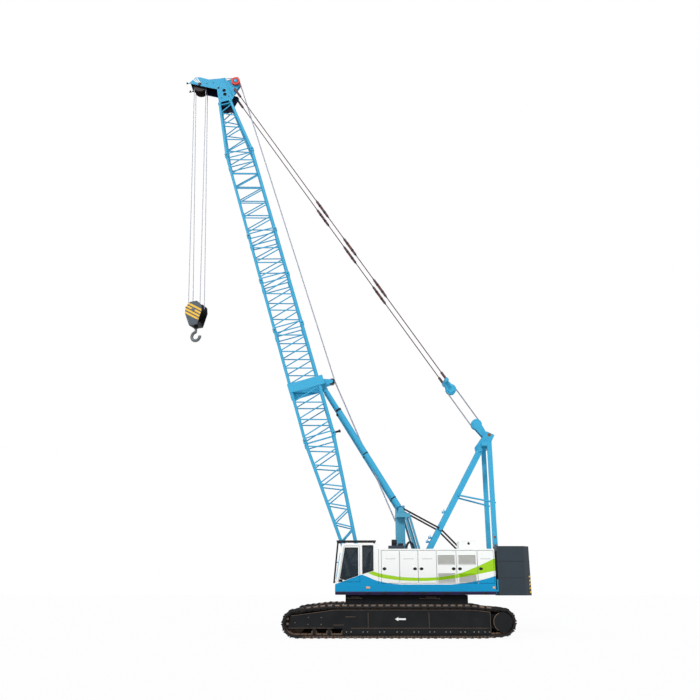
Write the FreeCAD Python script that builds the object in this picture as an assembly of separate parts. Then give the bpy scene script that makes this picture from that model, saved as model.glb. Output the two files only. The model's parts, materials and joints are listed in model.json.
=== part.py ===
import FreeCAD, Part
import math
import os

# Dynamic compaction machine: crawler base, revolving deck with cab and machine
# houses, lattice boom on pendants, and a hook block on four falls. Millimetres.
# X points forward, Y to the machine's left, Z up. The origin is on the ground
# under the slewing axis.

Vec = FreeCAD.Vector

# ---------------------------------------------------------------- clearances
RUN_GAP = 0.3          # curved faces that seat or turn in each other
SIDE_GAP = 8.0         # beside eyes and ears that turn past each other
DOOR_GAP = 14.0        # round a door that swings on pins inside its panel
RACE_GAP = 6.0         # over and under the two races of the slewing ring
RACE_FIT = 0.8         # between the races, where their balls run

# ---------------------------------------------------------------- crawler
TRACK_TREAD = 7300.0   # idler centre to sprocket centre
IDLER_X = 3620.0
IDLER_Z = 500.0
SPROCKET_Z = 545.0
TRACK_Y = 3005.0       # centre plane of a track
SHOE_WIDTH = 850.0
SHOE_COUNT = 68
SHOE_RISE = 60.0       # from the chain's pitch line to the shoe's ribs
RIB_DEPTH = 16.0
RIB_WIDTH = 44.0
SHOE_SLIT = 6.0        # half of the slit between two shoes
LINK_DEPTH = 45.0      # from the pitch line to the links' inner face
END_PITCH_R = 440.0    # pitch line round idler and sprocket
BEND_R = 60.0          # pitch line over a roller
CARRIER_X = 2500.0
CARRIER_TOP_Z = 1127.0
REAR_ROLLER_X = -3000.0
WHEEL_R = 368.0
WHEEL_HALF = 100.0
IDLER_SHAFT_R = 80.0
DRIVE_SHAFT_R = 150.0
DRIVE_COVER_R = 330.0
DRIVE_COVER_Y = 400.0  # from the track's centre plane to the cover's face
SHAFT_HALF = 250.0
ROLLER_R = 100.0
ROLLER_HALF = 270.0
ROLLER_SHAFT_R = 32.0
ROLLER_COUNT = 12
ROLLER_FIRST_X = 2950.0
ROLLER_LAST_X = IDLER_X - TRACK_TREAD + 860.0
CARRIER_SET_IN = 260.0  # a carrier roller sits this far inside the bend of the chain
CARRIER_R = 70.0
CARRIER_POST = 60.0

# ---------------------------------------------------------------- side frames
BEAM_HALF = 200.0      # box beam inside the track
BEAM_FRONT_X = 2900.0
BEAM_REAR_X = IDLER_X - TRACK_TREAD + 630.0   # clear of the drive wheel
BEAM_BOTTOM_Z = 330.0
BEAM_TOP_Z = 865.0
SIDE_PLATE_FRONT_X = 3870.0
SIDE_PLATE_REAR = 405.0    # from the drive wheel's axis to the outer plate's rear edge
SIDE_PLATE_TOP_Z = 955.0
SIDE_PLATE_SLOPE_X = 2250.0    # the top edge falls forward of here
FORK_IN = 130.0        # inner face of a fork plate, from the track's plane
FORK_PLATE = 40.0
FORK_HALF_Z = 150.0
SIDE_PLATE_OUT = 335.0
SIDE_PLATE = 40.0
SIDE_PLATE_BOTTOM_Z = 120.0
ROLLERS_SHOW_X = 1900.0
HANGER_WIDTH = 110.0

# ---------------------------------------------------------------- carbody
AXLE_BEAM_IN_X = 1050.0
AXLE_BEAM_OUT_X = 1860.0
AXLE_BEAM_BOTTOM_Z = 430.0
AXLE_BEAM_TOP_Z = 850.0
CARBODY_HALF_Y = 1400.0
CARBODY_BOTTOM_Z = 480.0
CARBODY_REAR_X = -2800.0
CARBODY_SHELF_Z = 1080.0
CARBODY_TOP_Z = 1430.0
TOW_LUG_LENGTH = 190.0
TOW_LUG_WIDTH = 170.0
TOW_LUG_PLATE = 50.0
TOW_LUG_Z = 690.0
TOW_HOLE_R = 30.0
RACE_R = 900.0         # outer radius of the fixed race
RACE_WALL = 110.0

# ---------------------------------------------------------------- deck
DECK_FRONT_X = 2257.0
HOUSE_REAR_X = -3855.0
DECK_HALF_Y = 1650.0
SKIRT_BOTTOM_Z = 1470.0
SKIRT_TOP_Z = 1810.0
SKIRT_WALL = 60.0
FLOOR_BOTTOM_Z = 1560.0
FLOOR_TOP_Z = 1620.0
GIRDER_Y = 780.0       # outer face of a deck girder
GIRDER_WALL = 60.0
GIRDER_TOP_Z = 1900.0

# ---------------------------------------------------------------- boom
BOOM_ANGLE = 73.8      # from the ground
BOOM_FOOT_X = 1308.0
BOOM_FOOT_Z = 1950.0
BOOM_JOINTS = [5960.0, 11060.0, 13500.0, 15800.0, 20200.0, 23400.0]
CHORD_R = 63.0
LACE_R = 27.0
CHORD_T = 617.0        # chord centre lines, fore and aft of the boom's axis
CHORD_Y = 600.0        # chord centre lines, left and right
BASE_END_T = 205.0
TOP_END_T = 270.0
TOP_END_Y = 285.0
FLANGE_R = 88.0
FLANGE_LENGTH = 90.0
LACE_STEP = 400.0
LACE_MARGIN = 200.0    # from a joint to the first lacing
BATTEN_MARGIN = 125.0
LACE_SPLIT = 16.0      # lacings meet this far either side of a node
FOOT_PLATE_END = 600.0
FOOT_BOSS_R = 150.0
FOOT_PIN_R = 50.0
FOOT_PLATE = 60.0
EAR_PLATE = 50.0
EAR_R = 130.0

# ---------------------------------------------------------------- boom head
HEAD_HALF_Y = 350.0
HEAD_PLATE = 40.0
HEAD_BASE = 60.0
SHEAVE_PITCH_R = 290.0
SHEAVE_RIM_R = 330.0
SHEAVE_WIDTH = 80.0
SHEAVE_Y = 200.0       # from the middle to a sheave's middle
SHEAVE_SHAFT_R = 50.0
ROPE_R = 17.0
GUIDE_SHEAVE_R = 215.0
GUIDE_SHEAVE_WIDTH = 90.0
STAY_Y = 425.0         # middle of a pendant, left and right
STAY_EYE_R = 85.0
STAY_PLATE = 40.0

# Side of the head, walked round: height above its base, distance fore of the boom's axis.
HEAD_FRONT = [(0.0, 300.0), (793.0, 215.0), (1129.0, 806.0), (1458.0, 1346.0), (1542.0, 1424.0)]
HEAD_TOP = [(1758.0, 1087.0), (1713.0, 868.0), (1462.0, 472.0), (1364.0, -64.0), (1340.0, -330.0)]
HEAD_REAR = [(1100.0, -380.0), (700.0, -520.0), (570.0, -700.0), (400.0, -700.0), (0.0, -372.0)]
HEAD_COVER = 26.0
HORN = [(1325.0, -290.0), (1373.0, -645.0), (1412.0, -982.0), (899.0, -941.0), (560.0, -600.0),
        (500.0, -290.0)]
HORN_Y = 110.0         # outer face of a horn plate
HORN_PLATE = 30.0
HEAD_SHEAVE_UP = 1324.0
HEAD_SHEAVE_T = 966.0
GUIDE_SHEAVE_UP = 1134.0
GUIDE_SHEAVE_T = -790.0
STAY_TOP_UP = 475.0
STAY_TOP_T = -640.0
PRONG_LENGTH = 170.0
PRONG_R = 18.0

# ---------------------------------------------------------------- cross beam
CROSS_S = 8130.0
CROSS_DEPTH = 400.0
CROSS_PLATE = 20.0
CROSS_REACH_T = 720.0
CROSS_BACK_T = 840.0
STRUT_TOP_S = 7900.0
STRUT_TOP_T = -824.0
STRUT_Y = 400.0
STRUT_EYE_R = 90.0
STRUT_EYE_PLATE = 60.0
ROPE_ROLLER_S = 8276.0
ROPE_ROLLER_T = -1189.0
ROPE_ROLLER_R = 120.0
ROPE_ROLLER_HALF = 150.0
ROLLER_ARM = 40.0

# ---------------------------------------------------------------- backstops
PORTAL_X = -370.0
PORTAL_DEPTH = 360.0
PORTAL_WIDTH = 180.0
PORTAL_TOP_Z = 4900.0
STRUT_FOOT_X = -390.0
STRUT_FOOT_Z = 4710.0
STRUT_R = 110.0
STRUT_BORE_R = 88.0
STRUT_ROD_R = 80.0
STRUT_TUBE_END = 4950.0
STRUT_GLAND = 80.0
STRUT_ROD_START = 3300.0
STRUT_PIN_R = 40.0
PORTAL_EYE_R = 110.0
BRACE_FOOT_X = -1513.0
BRACE_R = 45.0
BRACE_SPREAD = 170.0

# ---------------------------------------------------------------- gantry
MAST_FOOT_X = -1400.0
MAST_FOOT_Z = 2950.0
MAST_TOP_X = -4100.0
MAST_TOP_Z = 7750.0
MAST_Y = 290.0         # middle of a leg
MAST_WIDTH = 140.0
MAST_DEPTH = 210.0
MAST_PIN_R = 60.0
MAST_HEAD_PLATE = 40.0
MAST_TIE_Z = 6200.0      # a tube that ties the two legs
REAR_LEG_X = -4090.0
REAR_LEG_Y = 700.0
REAR_LEG_DEPTH = 190.0
REAR_LEG_WIDTH = 100.0
REAR_LEG_FOOT_Z = 2000.0
REAR_LEG_TOP_Z = 7300.0
TIE_MAST_Z = 5315.0
TIE_REAR_Z = 4973.0
TIE_R = 35.0
GANTRY_SHAFT_R = 60.0
STAY_ROD_R = 35.0

# ---------------------------------------------------------------- stays
BRIDLE_ROPE_R = 11.0
BRIDLE_SHEAVE_R = 230.0
BRIDLE_SHEAVE_WIDTH = 60.0
BRIDLE_SHEAVES = 3
INNER_SHEAVE_S = 700.0
OUTER_SHEAVE_S = 2560.0
OUTER_END_S = 3150.0
PENDANT_R = 22.0
SOCKET_R = 55.0
SOCKET_LENGTH = 330.0
LINK_LENGTH = 260.0
STAY_LINK_DEPTH = 110.0
PENDANT_JOINTS = [8060.0, 10500.0, 12820.0]

# ---------------------------------------------------------------- hook block
FALLS_LENGTH = 11916.0  # from the head sheave's shaft to the block's sheave shaft
FALLS_LEAN = 2.55       # the block hangs this far aft of plumb
BLOCK_TWIST = -18.5
BLOCK_TOP = 395.0       # above the sheave shaft
BLOCK_BOTTOM = 725.0
BLOCK_HALF = 420.0
CHEEK_WEIGHT = 30.0
BLOCK_SHAFT_R = 55.0
HOOK_BEND_R = 200.0
HOOK_SECTION_R = 68.0
HOOK_SHANK_R = 55.0
HOOK_CENTRE_DROP = 1190.0

# ---------------------------------------------------------------- houses and cab
HOUSE_FRONT_X = 589.0
HOUSE_TOP_Z = 3120.0
HOUSE_IN_Y = 800.0
HOUSE_WALL = 40.0
POST_WIDTH = 90.0
POST_DEPTH = 50.0
SILL = 40.0
HEADER = 50.0
DOOR_PANEL = 40.0
DOOR_PIN_R = 9.0
DOOR_PIN_IN = 20.0     # from the door's hinge edge to its pins
DOOR_PIN_LENGTH = 32.0
LEFT_DOORS = [(495.0, -208.0, "rear"), (-208.0, -915.0, "front"), (-915.0, -1621.0, "rear"),
              (-1621.0, -2385.0, "front"), (-2385.0, -3191.0, "rear"), (-3191.0, -3820.0, "rear")]
RIGHT_DOORS = [(495.0, -915.0, "rear"), (-915.0, -2385.0, "front"), (-2385.0, -3820.0, "rear")]
CAB_REAR_X = 600.0
CAB_FRONT_X = 2248.0
CAB_ROOF_FRONT_X = 1999.0
CAB_TOP_Z = 3318.0
CAB_IN_Y = 790.0
CAB_WALL = 50.0
CAB_DOOR_REAR_X = 1310.0
GLASS = 6.0
TANK_FRONT_X = 2150.0
TANK_TOP_Z = 2480.0
INTAKE_FRONT_X = -2525.0
INTAKE_REAR_X = -3200.0
INTAKE_IN = 150.0      # from the house's inner wall
INTAKE_EDGE = 90.0
ENGINE_REAR_X = -3650.0
ENGINE_FRONT_X = -1850.0
ENGINE_TOP_Z = 2650.0
ENGINE_CLEAR = 100.0
INTAKE_TOP_Z = 3410.0

# ---------------------------------------------------------------- winches
HOIST_DRUM_X = -1000.0
HOIST_DRUM_Z = 2350.0
LUFF_DRUM_X = -2300.0
LUFF_DRUM_Z = 2250.0
DRUM_R = 260.0
DRUM_HALF = 330.0
DRUM_FLANGE_R = 400.0
DRUM_FLANGE = 40.0

# ---------------------------------------------------------------- counterweight
BALLAST_FRONT_X = -3957.0
BALLAST_REAR_X = -5240.0
BALLAST_LEVELS = [1415.0, 2054.0, 2657.0, 3224.0]
BALLAST_CHAMFER = 260.0
BALLAST_SLOT_X = -4330.0
BALLAST_SLOT_HALF_Y = 860.0


# ================================================================ helpers
def box(x0, x1, y0, y1, z0, z1):
    return Part.makeBox(x1 - x0, y1 - y0, z1 - z0, Vec(x0, y0, z0))


def rod(p, q, radius):
    return Part.makeCylinder(radius, (q - p).Length, p, q - p)


def pin(x, z, radius, y0, y1):
    return Part.makeCylinder(radius, y1 - y0, Vec(x, y0, z), Vec(0, 1, 0))


def plate(points, y0, y1):
    corners = [Vec(x, y0, z) for x, z in points]
    face = Part.Face(Part.makePolygon(corners + corners[:1]))
    return face.extrude(Vec(0, y1 - y0, 0))


def slab(points, z0, z1):
    corners = [Vec(x, y, z0) for x, y in points]
    face = Part.Face(Part.makePolygon(corners + corners[:1]))
    return face.extrude(Vec(0, 0, z1 - z0))


def fuse(shapes):
    return shapes[0].fuse(shapes[1:]).removeSplitter()


def mirrored(shape):
    return shape.mirror(Vec(0, 0, 0), Vec(0, 1, 0))


def moved(shape, x, y, z):
    copy = shape.copy()
    copy.translate(Vec(x, y, z))
    return copy


def leaned(shape, angle, x, z):
    """Turn a shape that was built upright so that it leans at angle, and set its foot at x, z."""
    copy = shape.copy()
    copy.rotate(Vec(0, 0, 0), Vec(0, 1, 0), 90.0 - angle)
    copy.translate(Vec(x, 0, z))
    return copy


def both_sides(shape):
    return [shape, mirrored(shape)]


def sheave(x, z, rim_r, groove_r, half_groove, width, y, bore_r):
    """A grooved wheel on a Y axis."""
    half = width / 2
    lip = min(half - 6, half_groove + 8)
    section = [(bore_r, -half), (rim_r, -half), (rim_r, -lip), (groove_r, -half_groove),
               (groove_r, half_groove), (rim_r, lip), (rim_r, half), (bore_r, half)]
    corners = [Vec(r, v, 0) for r, v in section]
    face = Part.Face(Part.makePolygon(corners + corners[:1]))
    wheel = face.revolve(Vec(0, 0, 0), Vec(0, 1, 0), 360)
    return moved(wheel, x, y, z)


def save(node, solids):
    shape = solids[0] if len(solids) == 1 else Part.makeCompound(solids)
    shape.exportStep("parts/" + node + ".step")


os.makedirs("parts", exist_ok=True)

# ================================================================ tracks
sprocket_x = IDLER_X - TRACK_TREAD
bottom_bend_z = SHOE_RISE + BEND_R
top_bend_z = CARRIER_TOP_Z - SHOE_RISE - BEND_R
bends = [
    (REAR_ROLLER_X, bottom_bend_z, BEND_R),
    (IDLER_X, IDLER_Z, END_PITCH_R),
    (CARRIER_X, top_bend_z, BEND_R),
    (-CARRIER_X, top_bend_z, BEND_R),
    (sprocket_x, SPROCKET_Z, END_PITCH_R),
]


def tangent_normal(a, b):
    """Outward normal of the chain's straight run from bend a to bend b, as an angle."""
    run = math.hypot(b[0] - a[0], b[1] - a[1])
    heading = math.atan2(b[1] - a[1], b[0] - a[0])
    return heading - math.acos((a[2] - b[2]) / run)


def pitch_line():
    """Straight runs and arcs of the chain, counterclockwise from the rear roller."""
    count = len(bends)
    normals = [tangent_normal(bends[i], bends[(i + 1) % count]) for i in range(count)]
    runs = []
    for i in range(count):
        a = bends[i]
        b = bends[(i + 1) % count]
        n = normals[i]
        p = (a[0] + a[2] * math.cos(n), a[1] + a[2] * math.sin(n))
        q = (b[0] + b[2] * math.cos(n), b[1] + b[2] * math.sin(n))
        turn = (normals[(i + 1) % count] - n) % (2 * math.pi)
        runs.append(("line", p, q, math.hypot(q[0] - p[0], q[1] - p[1])))
        runs.append(("arc", b, n, b[2] * turn))
    return runs


def point_on(runs, distance):
    for kind, a, b, length in runs:
        if distance > length:
            distance -= length
            continue
        if kind == "line":
            share = distance / length
            return (a[0] + (b[0] - a[0]) * share, a[1] + (b[1] - a[1]) * share)
        angle = b + distance / a[2]
        return (a[0] + a[2] * math.cos(angle), a[1] + a[2] * math.sin(angle))
    return point_on(runs, distance)


chain = pitch_line()
chain_length = sum(run[3] for run in chain)
shoe_pitch = chain_length / SHOE_COUNT
first_pin = -chain[0][1][0] - SHOE_SLIT - RIB_WIDTH / 2
pins = [point_on(chain, (first_pin + i * shoe_pitch) % chain_length) for i in range(SHOE_COUNT)]


def shoe_outline(p, q):
    """One shoe over the link from pin p to pin q: a plate with a rib along each edge."""
    length = math.hypot(q[0] - p[0], q[1] - p[1])
    ux = (q[0] - p[0]) / length
    uz = (q[1] - p[1]) / length
    start = SHOE_SLIT
    end = length - SHOE_SLIT
    floor = SHOE_RISE - RIB_DEPTH
    steps = [(start, 0), (start, SHOE_RISE), (start + RIB_WIDTH, SHOE_RISE), (start + RIB_WIDTH, floor),
             (end - RIB_WIDTH, floor), (end - RIB_WIDTH, SHOE_RISE), (end, SHOE_RISE), (end, 0)]
    return [(p[0] + ux * along + uz * out, p[1] + uz * along - ux * out) for along, out in steps]


def inner_corner(before, pivot, after):
    """The links' inner face at a pin, square to the mean of its two links."""
    ux = after[0] - before[0]
    uz = after[1] - before[1]
    length = math.hypot(ux, uz)
    return (pivot[0] - uz / length * LINK_DEPTH, pivot[1] + ux / length * LINK_DEPTH)


outer = []
inner = []
for i in range(SHOE_COUNT):
    outer += shoe_outline(pins[i], pins[(i + 1) % SHOE_COUNT])
    inner.append(inner_corner(pins[i - 1], pins[i], pins[(i + 1) % SHOE_COUNT]))
track_y0 = TRACK_Y - SHOE_WIDTH / 2
track = plate(outer, track_y0, track_y0 + SHOE_WIDTH)
track = track.cut(plate(inner, track_y0 - 1, track_y0 + SHOE_WIDTH + 1))
save("track_left", [track])
save("track_right", [mirrored(track)])

# ================================================================ idlers, sprockets, rollers
idler = fuse([
    pin(IDLER_X, IDLER_Z, WHEEL_R, TRACK_Y - WHEEL_HALF, TRACK_Y + WHEEL_HALF),
    pin(IDLER_X, IDLER_Z, IDLER_SHAFT_R, TRACK_Y - SHAFT_HALF, TRACK_Y + SHAFT_HALF),
])
save("idlers", both_sides(idler))

cover_y0 = TRACK_Y + FORK_IN + FORK_PLATE + RUN_GAP
sprocket = fuse([
    pin(sprocket_x, SPROCKET_Z, WHEEL_R, TRACK_Y - WHEEL_HALF, TRACK_Y + WHEEL_HALF),
    pin(sprocket_x, SPROCKET_Z, DRIVE_SHAFT_R, TRACK_Y - SHAFT_HALF, TRACK_Y + SHAFT_HALF),
    pin(sprocket_x, SPROCKET_Z, DRIVE_COVER_R, cover_y0, TRACK_Y + DRIVE_COVER_Y),
])
save("sprockets", both_sides(sprocket))

roller_z = SHOE_RISE + LINK_DEPTH + RUN_GAP + ROLLER_R
roller_step = (ROLLER_FIRST_X - ROLLER_LAST_X) / (ROLLER_COUNT - 1)
roller_xs = [ROLLER_FIRST_X - i * roller_step for i in range(ROLLER_COUNT)]
plate_in = SIDE_PLATE_OUT - SIDE_PLATE
rollers = []
for x in roller_xs:
    tread = pin(x, roller_z, ROLLER_R, TRACK_Y - ROLLER_HALF, TRACK_Y + ROLLER_HALF)
    shaft_end = plate_in - RUN_GAP
    shaft = pin(x, roller_z, ROLLER_SHAFT_R, TRACK_Y - shaft_end, TRACK_Y + shaft_end)
    rollers += both_sides(tread.fuse(shaft).removeSplitter())

carrier_z = CARRIER_TOP_Z - SHOE_RISE - LINK_DEPTH - RUN_GAP - CARRIER_R
carrier_xs = (CARRIER_SET_IN - CARRIER_X, 0.0, CARRIER_X - CARRIER_SET_IN)
carriers = []
for x in carrier_xs:
    wheel = pin(x, carrier_z, CARRIER_R, TRACK_Y - WHEEL_HALF, TRACK_Y + WHEEL_HALF)
    carriers += both_sides(wheel)
save("track_rollers", rollers + carriers)

# ================================================================ carbody and slewing ring
beam_end_y = TRACK_Y - BEAM_HALF


def axle_beam(x0, x1):
    return box(x0, x1, -beam_end_y, beam_end_y, AXLE_BEAM_BOTTOM_Z, AXLE_BEAM_TOP_Z)


axle_beams = [axle_beam(AXLE_BEAM_IN_X, AXLE_BEAM_OUT_X), axle_beam(-AXLE_BEAM_OUT_X, -AXLE_BEAM_IN_X)]
middle = box(-AXLE_BEAM_OUT_X, AXLE_BEAM_OUT_X, -CARBODY_HALF_Y, CARBODY_HALF_Y, AXLE_BEAM_BOTTOM_Z,
             AXLE_BEAM_TOP_Z)
beam_ends = [end for beam in axle_beams for end in beam.cut(middle).Solids]
tow_lug = box(AXLE_BEAM_OUT_X, AXLE_BEAM_OUT_X + TOW_LUG_LENGTH, -TOW_LUG_WIDTH / 2, TOW_LUG_WIDTH / 2,
              TOW_LUG_Z - TOW_LUG_PLATE / 2, TOW_LUG_Z + TOW_LUG_PLATE / 2)
tow_hole_x = AXLE_BEAM_OUT_X + TOW_LUG_LENGTH / 2
tow_lug = tow_lug.cut(Part.makeCylinder(TOW_HOLE_R, TOW_LUG_PLATE,
                                        Vec(tow_hole_x, 0, TOW_LUG_Z - TOW_LUG_PLATE / 2)))
carbody = fuse([beam.common(middle) for beam in axle_beams] + [
    box(-AXLE_BEAM_OUT_X, AXLE_BEAM_OUT_X, -CARBODY_HALF_Y, CARBODY_HALF_Y, CARBODY_BOTTOM_Z, CARBODY_TOP_Z),
    box(CARBODY_REAR_X, -AXLE_BEAM_OUT_X, -CARBODY_HALF_Y, CARBODY_HALF_Y, CARBODY_SHELF_Z, CARBODY_TOP_Z),
    tow_lug,
])
save("carbody", [carbody] + beam_ends)


def ring(radius, wall, z0, z1):
    outside = Part.makeCylinder(radius, z1 - z0, Vec(0, 0, z0))
    return outside.cut(Part.makeCylinder(radius - wall, z1 - z0, Vec(0, 0, z0)))


save("slewing_ring", [ring(RACE_R, RACE_WALL, CARBODY_TOP_Z, FLOOR_BOTTOM_Z - RACE_GAP)])

# ================================================================ side frames
front_fork = plate([(BEAM_FRONT_X - 100, BEAM_BOTTOM_Z), (IDLER_X, IDLER_Z - FORK_HALF_Z),
                    (IDLER_X + FORK_HALF_Z, IDLER_Z), (IDLER_X, IDLER_Z + FORK_HALF_Z),
                    (BEAM_FRONT_X - 100, BEAM_TOP_Z - 120)],
                   TRACK_Y + FORK_IN, TRACK_Y + FORK_IN + FORK_PLATE)
rear_half_z = FORK_HALF_Z + DRIVE_SHAFT_R - IDLER_SHAFT_R
rear_fork = plate([(BEAM_REAR_X + 100, BEAM_BOTTOM_Z), (BEAM_REAR_X + 100, BEAM_TOP_Z),
                   (sprocket_x, SPROCKET_Z + rear_half_z), (sprocket_x - rear_half_z, SPROCKET_Z),
                   (sprocket_x, SPROCKET_Z - rear_half_z)],
                  TRACK_Y + FORK_IN, TRACK_Y + FORK_IN + FORK_PLATE)
fork_step = -(2 * FORK_IN + FORK_PLATE)
plate_rear_x = sprocket_x + SIDE_PLATE_REAR
side_plate = plate([(SIDE_PLATE_FRONT_X, BEAM_BOTTOM_Z), (SIDE_PLATE_FRONT_X - 90, SIDE_PLATE_TOP_Z - 200),
                    (SIDE_PLATE_SLOPE_X, SIDE_PLATE_TOP_Z), (plate_rear_x + 700, SIDE_PLATE_TOP_Z),
                    (plate_rear_x, SIDE_PLATE_TOP_Z - 65), (plate_rear_x, SIDE_PLATE_BOTTOM_Z + 30),
                    (BEAM_REAR_X, SIDE_PLATE_BOTTOM_Z), (ROLLERS_SHOW_X, SIDE_PLATE_BOTTOM_Z),
                    (ROLLERS_SHOW_X, BEAM_BOTTOM_Z)],
                   TRACK_Y + plate_in, TRACK_Y + SIDE_PLATE_OUT)
lobe = WHEEL_R * math.cos(math.radians(45))
inner_wall = plate([(IDLER_X, IDLER_Z - WHEEL_R), (IDLER_X + lobe, IDLER_Z - lobe),
                    (IDLER_X + WHEEL_R, IDLER_Z), (IDLER_X + lobe, IDLER_Z + lobe),
                    (IDLER_X, IDLER_Z + WHEEL_R), (SIDE_PLATE_SLOPE_X, SIDE_PLATE_TOP_Z),
                    (plate_rear_x + 700, SIDE_PLATE_TOP_Z), (sprocket_x, SPROCKET_Z + WHEEL_R),
                    (sprocket_x - lobe, SPROCKET_Z + lobe), (sprocket_x - WHEEL_R, SPROCKET_Z),
                    (sprocket_x - lobe, SPROCKET_Z - lobe), (sprocket_x, SPROCKET_Z - WHEEL_R),
                    (BEAM_REAR_X, SIDE_PLATE_BOTTOM_Z), (BEAM_FRONT_X, SIDE_PLATE_BOTTOM_Z)],
                   TRACK_Y - SIDE_PLATE_OUT, TRACK_Y - plate_in)
hangers = []
for x in roller_xs:
    if x > ROLLERS_SHOW_X:
        hangers.append(box(x - HANGER_WIDTH / 2, x + HANGER_WIDTH / 2, TRACK_Y + plate_in,
                           TRACK_Y + SIDE_PLATE_OUT, SIDE_PLATE_BOTTOM_Z, BEAM_BOTTOM_Z + 20))
outer_wall = fuse([side_plate] + hangers)
posts = []
for x in carrier_xs:
    post_top = carrier_z - CARRIER_R - RUN_GAP
    posts.append(box(x - CARRIER_POST, x + CARRIER_POST, TRACK_Y - WHEEL_HALF, TRACK_Y + WHEEL_HALF,
                     BEAM_TOP_Z, post_top + 10))
    posts[-1] = posts[-1].cut(pin(x, carrier_z, CARRIER_R + RUN_GAP, TRACK_Y - SHAFT_HALF,
                                  TRACK_Y + SHAFT_HALF))
ribs = [box(x - 20, x + 20, TRACK_Y - plate_in, TRACK_Y + plate_in, BEAM_BOTTOM_Z, BEAM_TOP_Z)
        for x in (BEAM_REAR_X + 400, -600.0, 600.0, BEAM_FRONT_X - 400)]
side_frame = fuse([
    box(BEAM_REAR_X, BEAM_FRONT_X, TRACK_Y - BEAM_HALF, TRACK_Y + BEAM_HALF, BEAM_BOTTOM_Z, BEAM_TOP_Z),
    front_fork, moved(front_fork, 0, fork_step, 0), rear_fork, moved(rear_fork, 0, fork_step, 0),
    outer_wall, inner_wall,
] + posts + ribs)
side_frame = side_frame.cut(pin(IDLER_X, IDLER_Z, IDLER_SHAFT_R + RUN_GAP, TRACK_Y - SHAFT_HALF,
                                TRACK_Y + SHAFT_HALF))
side_frame = side_frame.cut(pin(sprocket_x, SPROCKET_Z, DRIVE_SHAFT_R + RUN_GAP, TRACK_Y - SHAFT_HALF,
                                TRACK_Y + SHAFT_HALF))
for beam in axle_beams:
    side_frame = side_frame.cut(beam)
save("side_frame_left", [side_frame])
save("side_frame_right", [mirrored(side_frame)])

# ================================================================ deck
floor_half_y = DECK_HALF_Y - SKIRT_WALL
skirt_side = box(HOUSE_REAR_X, DECK_FRONT_X, floor_half_y, DECK_HALF_Y, SKIRT_BOTTOM_Z, SKIRT_TOP_Z)
skirt_front = box(DECK_FRONT_X - SKIRT_WALL, DECK_FRONT_X, -DECK_HALF_Y, DECK_HALF_Y,
                  SKIRT_BOTTOM_Z, SKIRT_TOP_Z)
save("deck_skirts", [fuse([skirt_side, mirrored(skirt_side), skirt_front])])

girder_in = GIRDER_Y - GIRDER_WALL
ear_out_y0 = CHORD_Y + FOOT_PLATE / 2 + SIDE_GAP
ear_in_y1 = CHORD_Y - FOOT_PLATE / 2 - SIDE_GAP


def boom_ear(y0):
    ear = plate([(BOOM_FOOT_X - 260, FLOOR_TOP_Z), (BOOM_FOOT_X - EAR_R, BOOM_FOOT_Z),
                 (BOOM_FOOT_X + EAR_R, BOOM_FOOT_Z), (BOOM_FOOT_X + 260, FLOOR_TOP_Z)], y0, y0 + EAR_PLATE)
    return ear.fuse(pin(BOOM_FOOT_X, BOOM_FOOT_Z, EAR_R, y0, y0 + EAR_PLATE))


mast_in_y = MAST_Y - MAST_WIDTH / 2
mast_ear_y0 = MAST_Y + MAST_WIDTH / 2 + SIDE_GAP
mast_ear_y1 = mast_ear_y0 + EAR_PLATE
mast_ear = plate([(MAST_FOOT_X - 400, FLOOR_TOP_Z), (MAST_FOOT_X - 100, FLOOR_TOP_Z),
                  (MAST_FOOT_X - 50, MAST_FOOT_Z - 350), (MAST_FOOT_X + EAR_R, MAST_FOOT_Z),
                  (MAST_FOOT_X - EAR_R, MAST_FOOT_Z), (MAST_FOOT_X - 300, MAST_FOOT_Z - 650)],
                 mast_ear_y0, mast_ear_y1)
mast_ear = fuse([
    mast_ear,
    pin(MAST_FOOT_X, MAST_FOOT_Z, EAR_R, mast_ear_y0, mast_ear_y1),
    pin(MAST_FOOT_X, MAST_FOOT_Z, MAST_PIN_R, mast_in_y, mast_ear_y1),
    box(MAST_FOOT_X - 300, MAST_FOOT_X - 160, -mast_ear_y0, mast_ear_y0, MAST_FOOT_Z - 750,
        MAST_FOOT_Z - 630),
])
girder = box(HOUSE_REAR_X - 60, DECK_FRONT_X - SKIRT_WALL, girder_in, GIRDER_Y, FLOOR_TOP_Z, GIRDER_TOP_Z)
left_deck = fuse([girder, boom_ear(ear_out_y0), boom_ear(ear_in_y1 - EAR_PLATE), mast_ear,
                  pin(BOOM_FOOT_X, BOOM_FOOT_Z, FOOT_PIN_R, ear_in_y1 - EAR_PLATE, ear_out_y0 + EAR_PLATE)])
rear_wall = box(BALLAST_FRONT_X, HOUSE_REAR_X - 60, -floor_half_y, floor_half_y, FLOOR_BOTTOM_Z, 2000.0)
rear_bracket_y0 = REAR_LEG_Y - REAR_LEG_WIDTH / 2
rear_bracket = box(REAR_LEG_X - REAR_LEG_DEPTH / 2, HOUSE_REAR_X - 60, rear_bracket_y0 - 30,
                   rear_bracket_y0 + REAR_LEG_WIDTH + 30, REAR_LEG_FOOT_Z - 200, REAR_LEG_FOOT_Z)
cab_plinth = box(CAB_REAR_X, DECK_FRONT_X - SKIRT_WALL, CAB_IN_Y, floor_half_y, FLOOR_TOP_Z, SKIRT_TOP_Z)
deck_floor = box(HOUSE_REAR_X - 60, DECK_FRONT_X - SKIRT_WALL, -floor_half_y, floor_half_y,
                 FLOOR_BOTTOM_Z, FLOOR_TOP_Z)
deck_race = ring(RACE_R + RACE_FIT + RACE_WALL, RACE_WALL, CARBODY_TOP_Z + RACE_GAP, FLOOR_BOTTOM_Z)
deck = fuse([deck_floor, left_deck, mirrored(left_deck), rear_wall, rear_bracket, mirrored(rear_bracket),
             cab_plinth, deck_race])
save("deck_frame", [deck])

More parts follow.
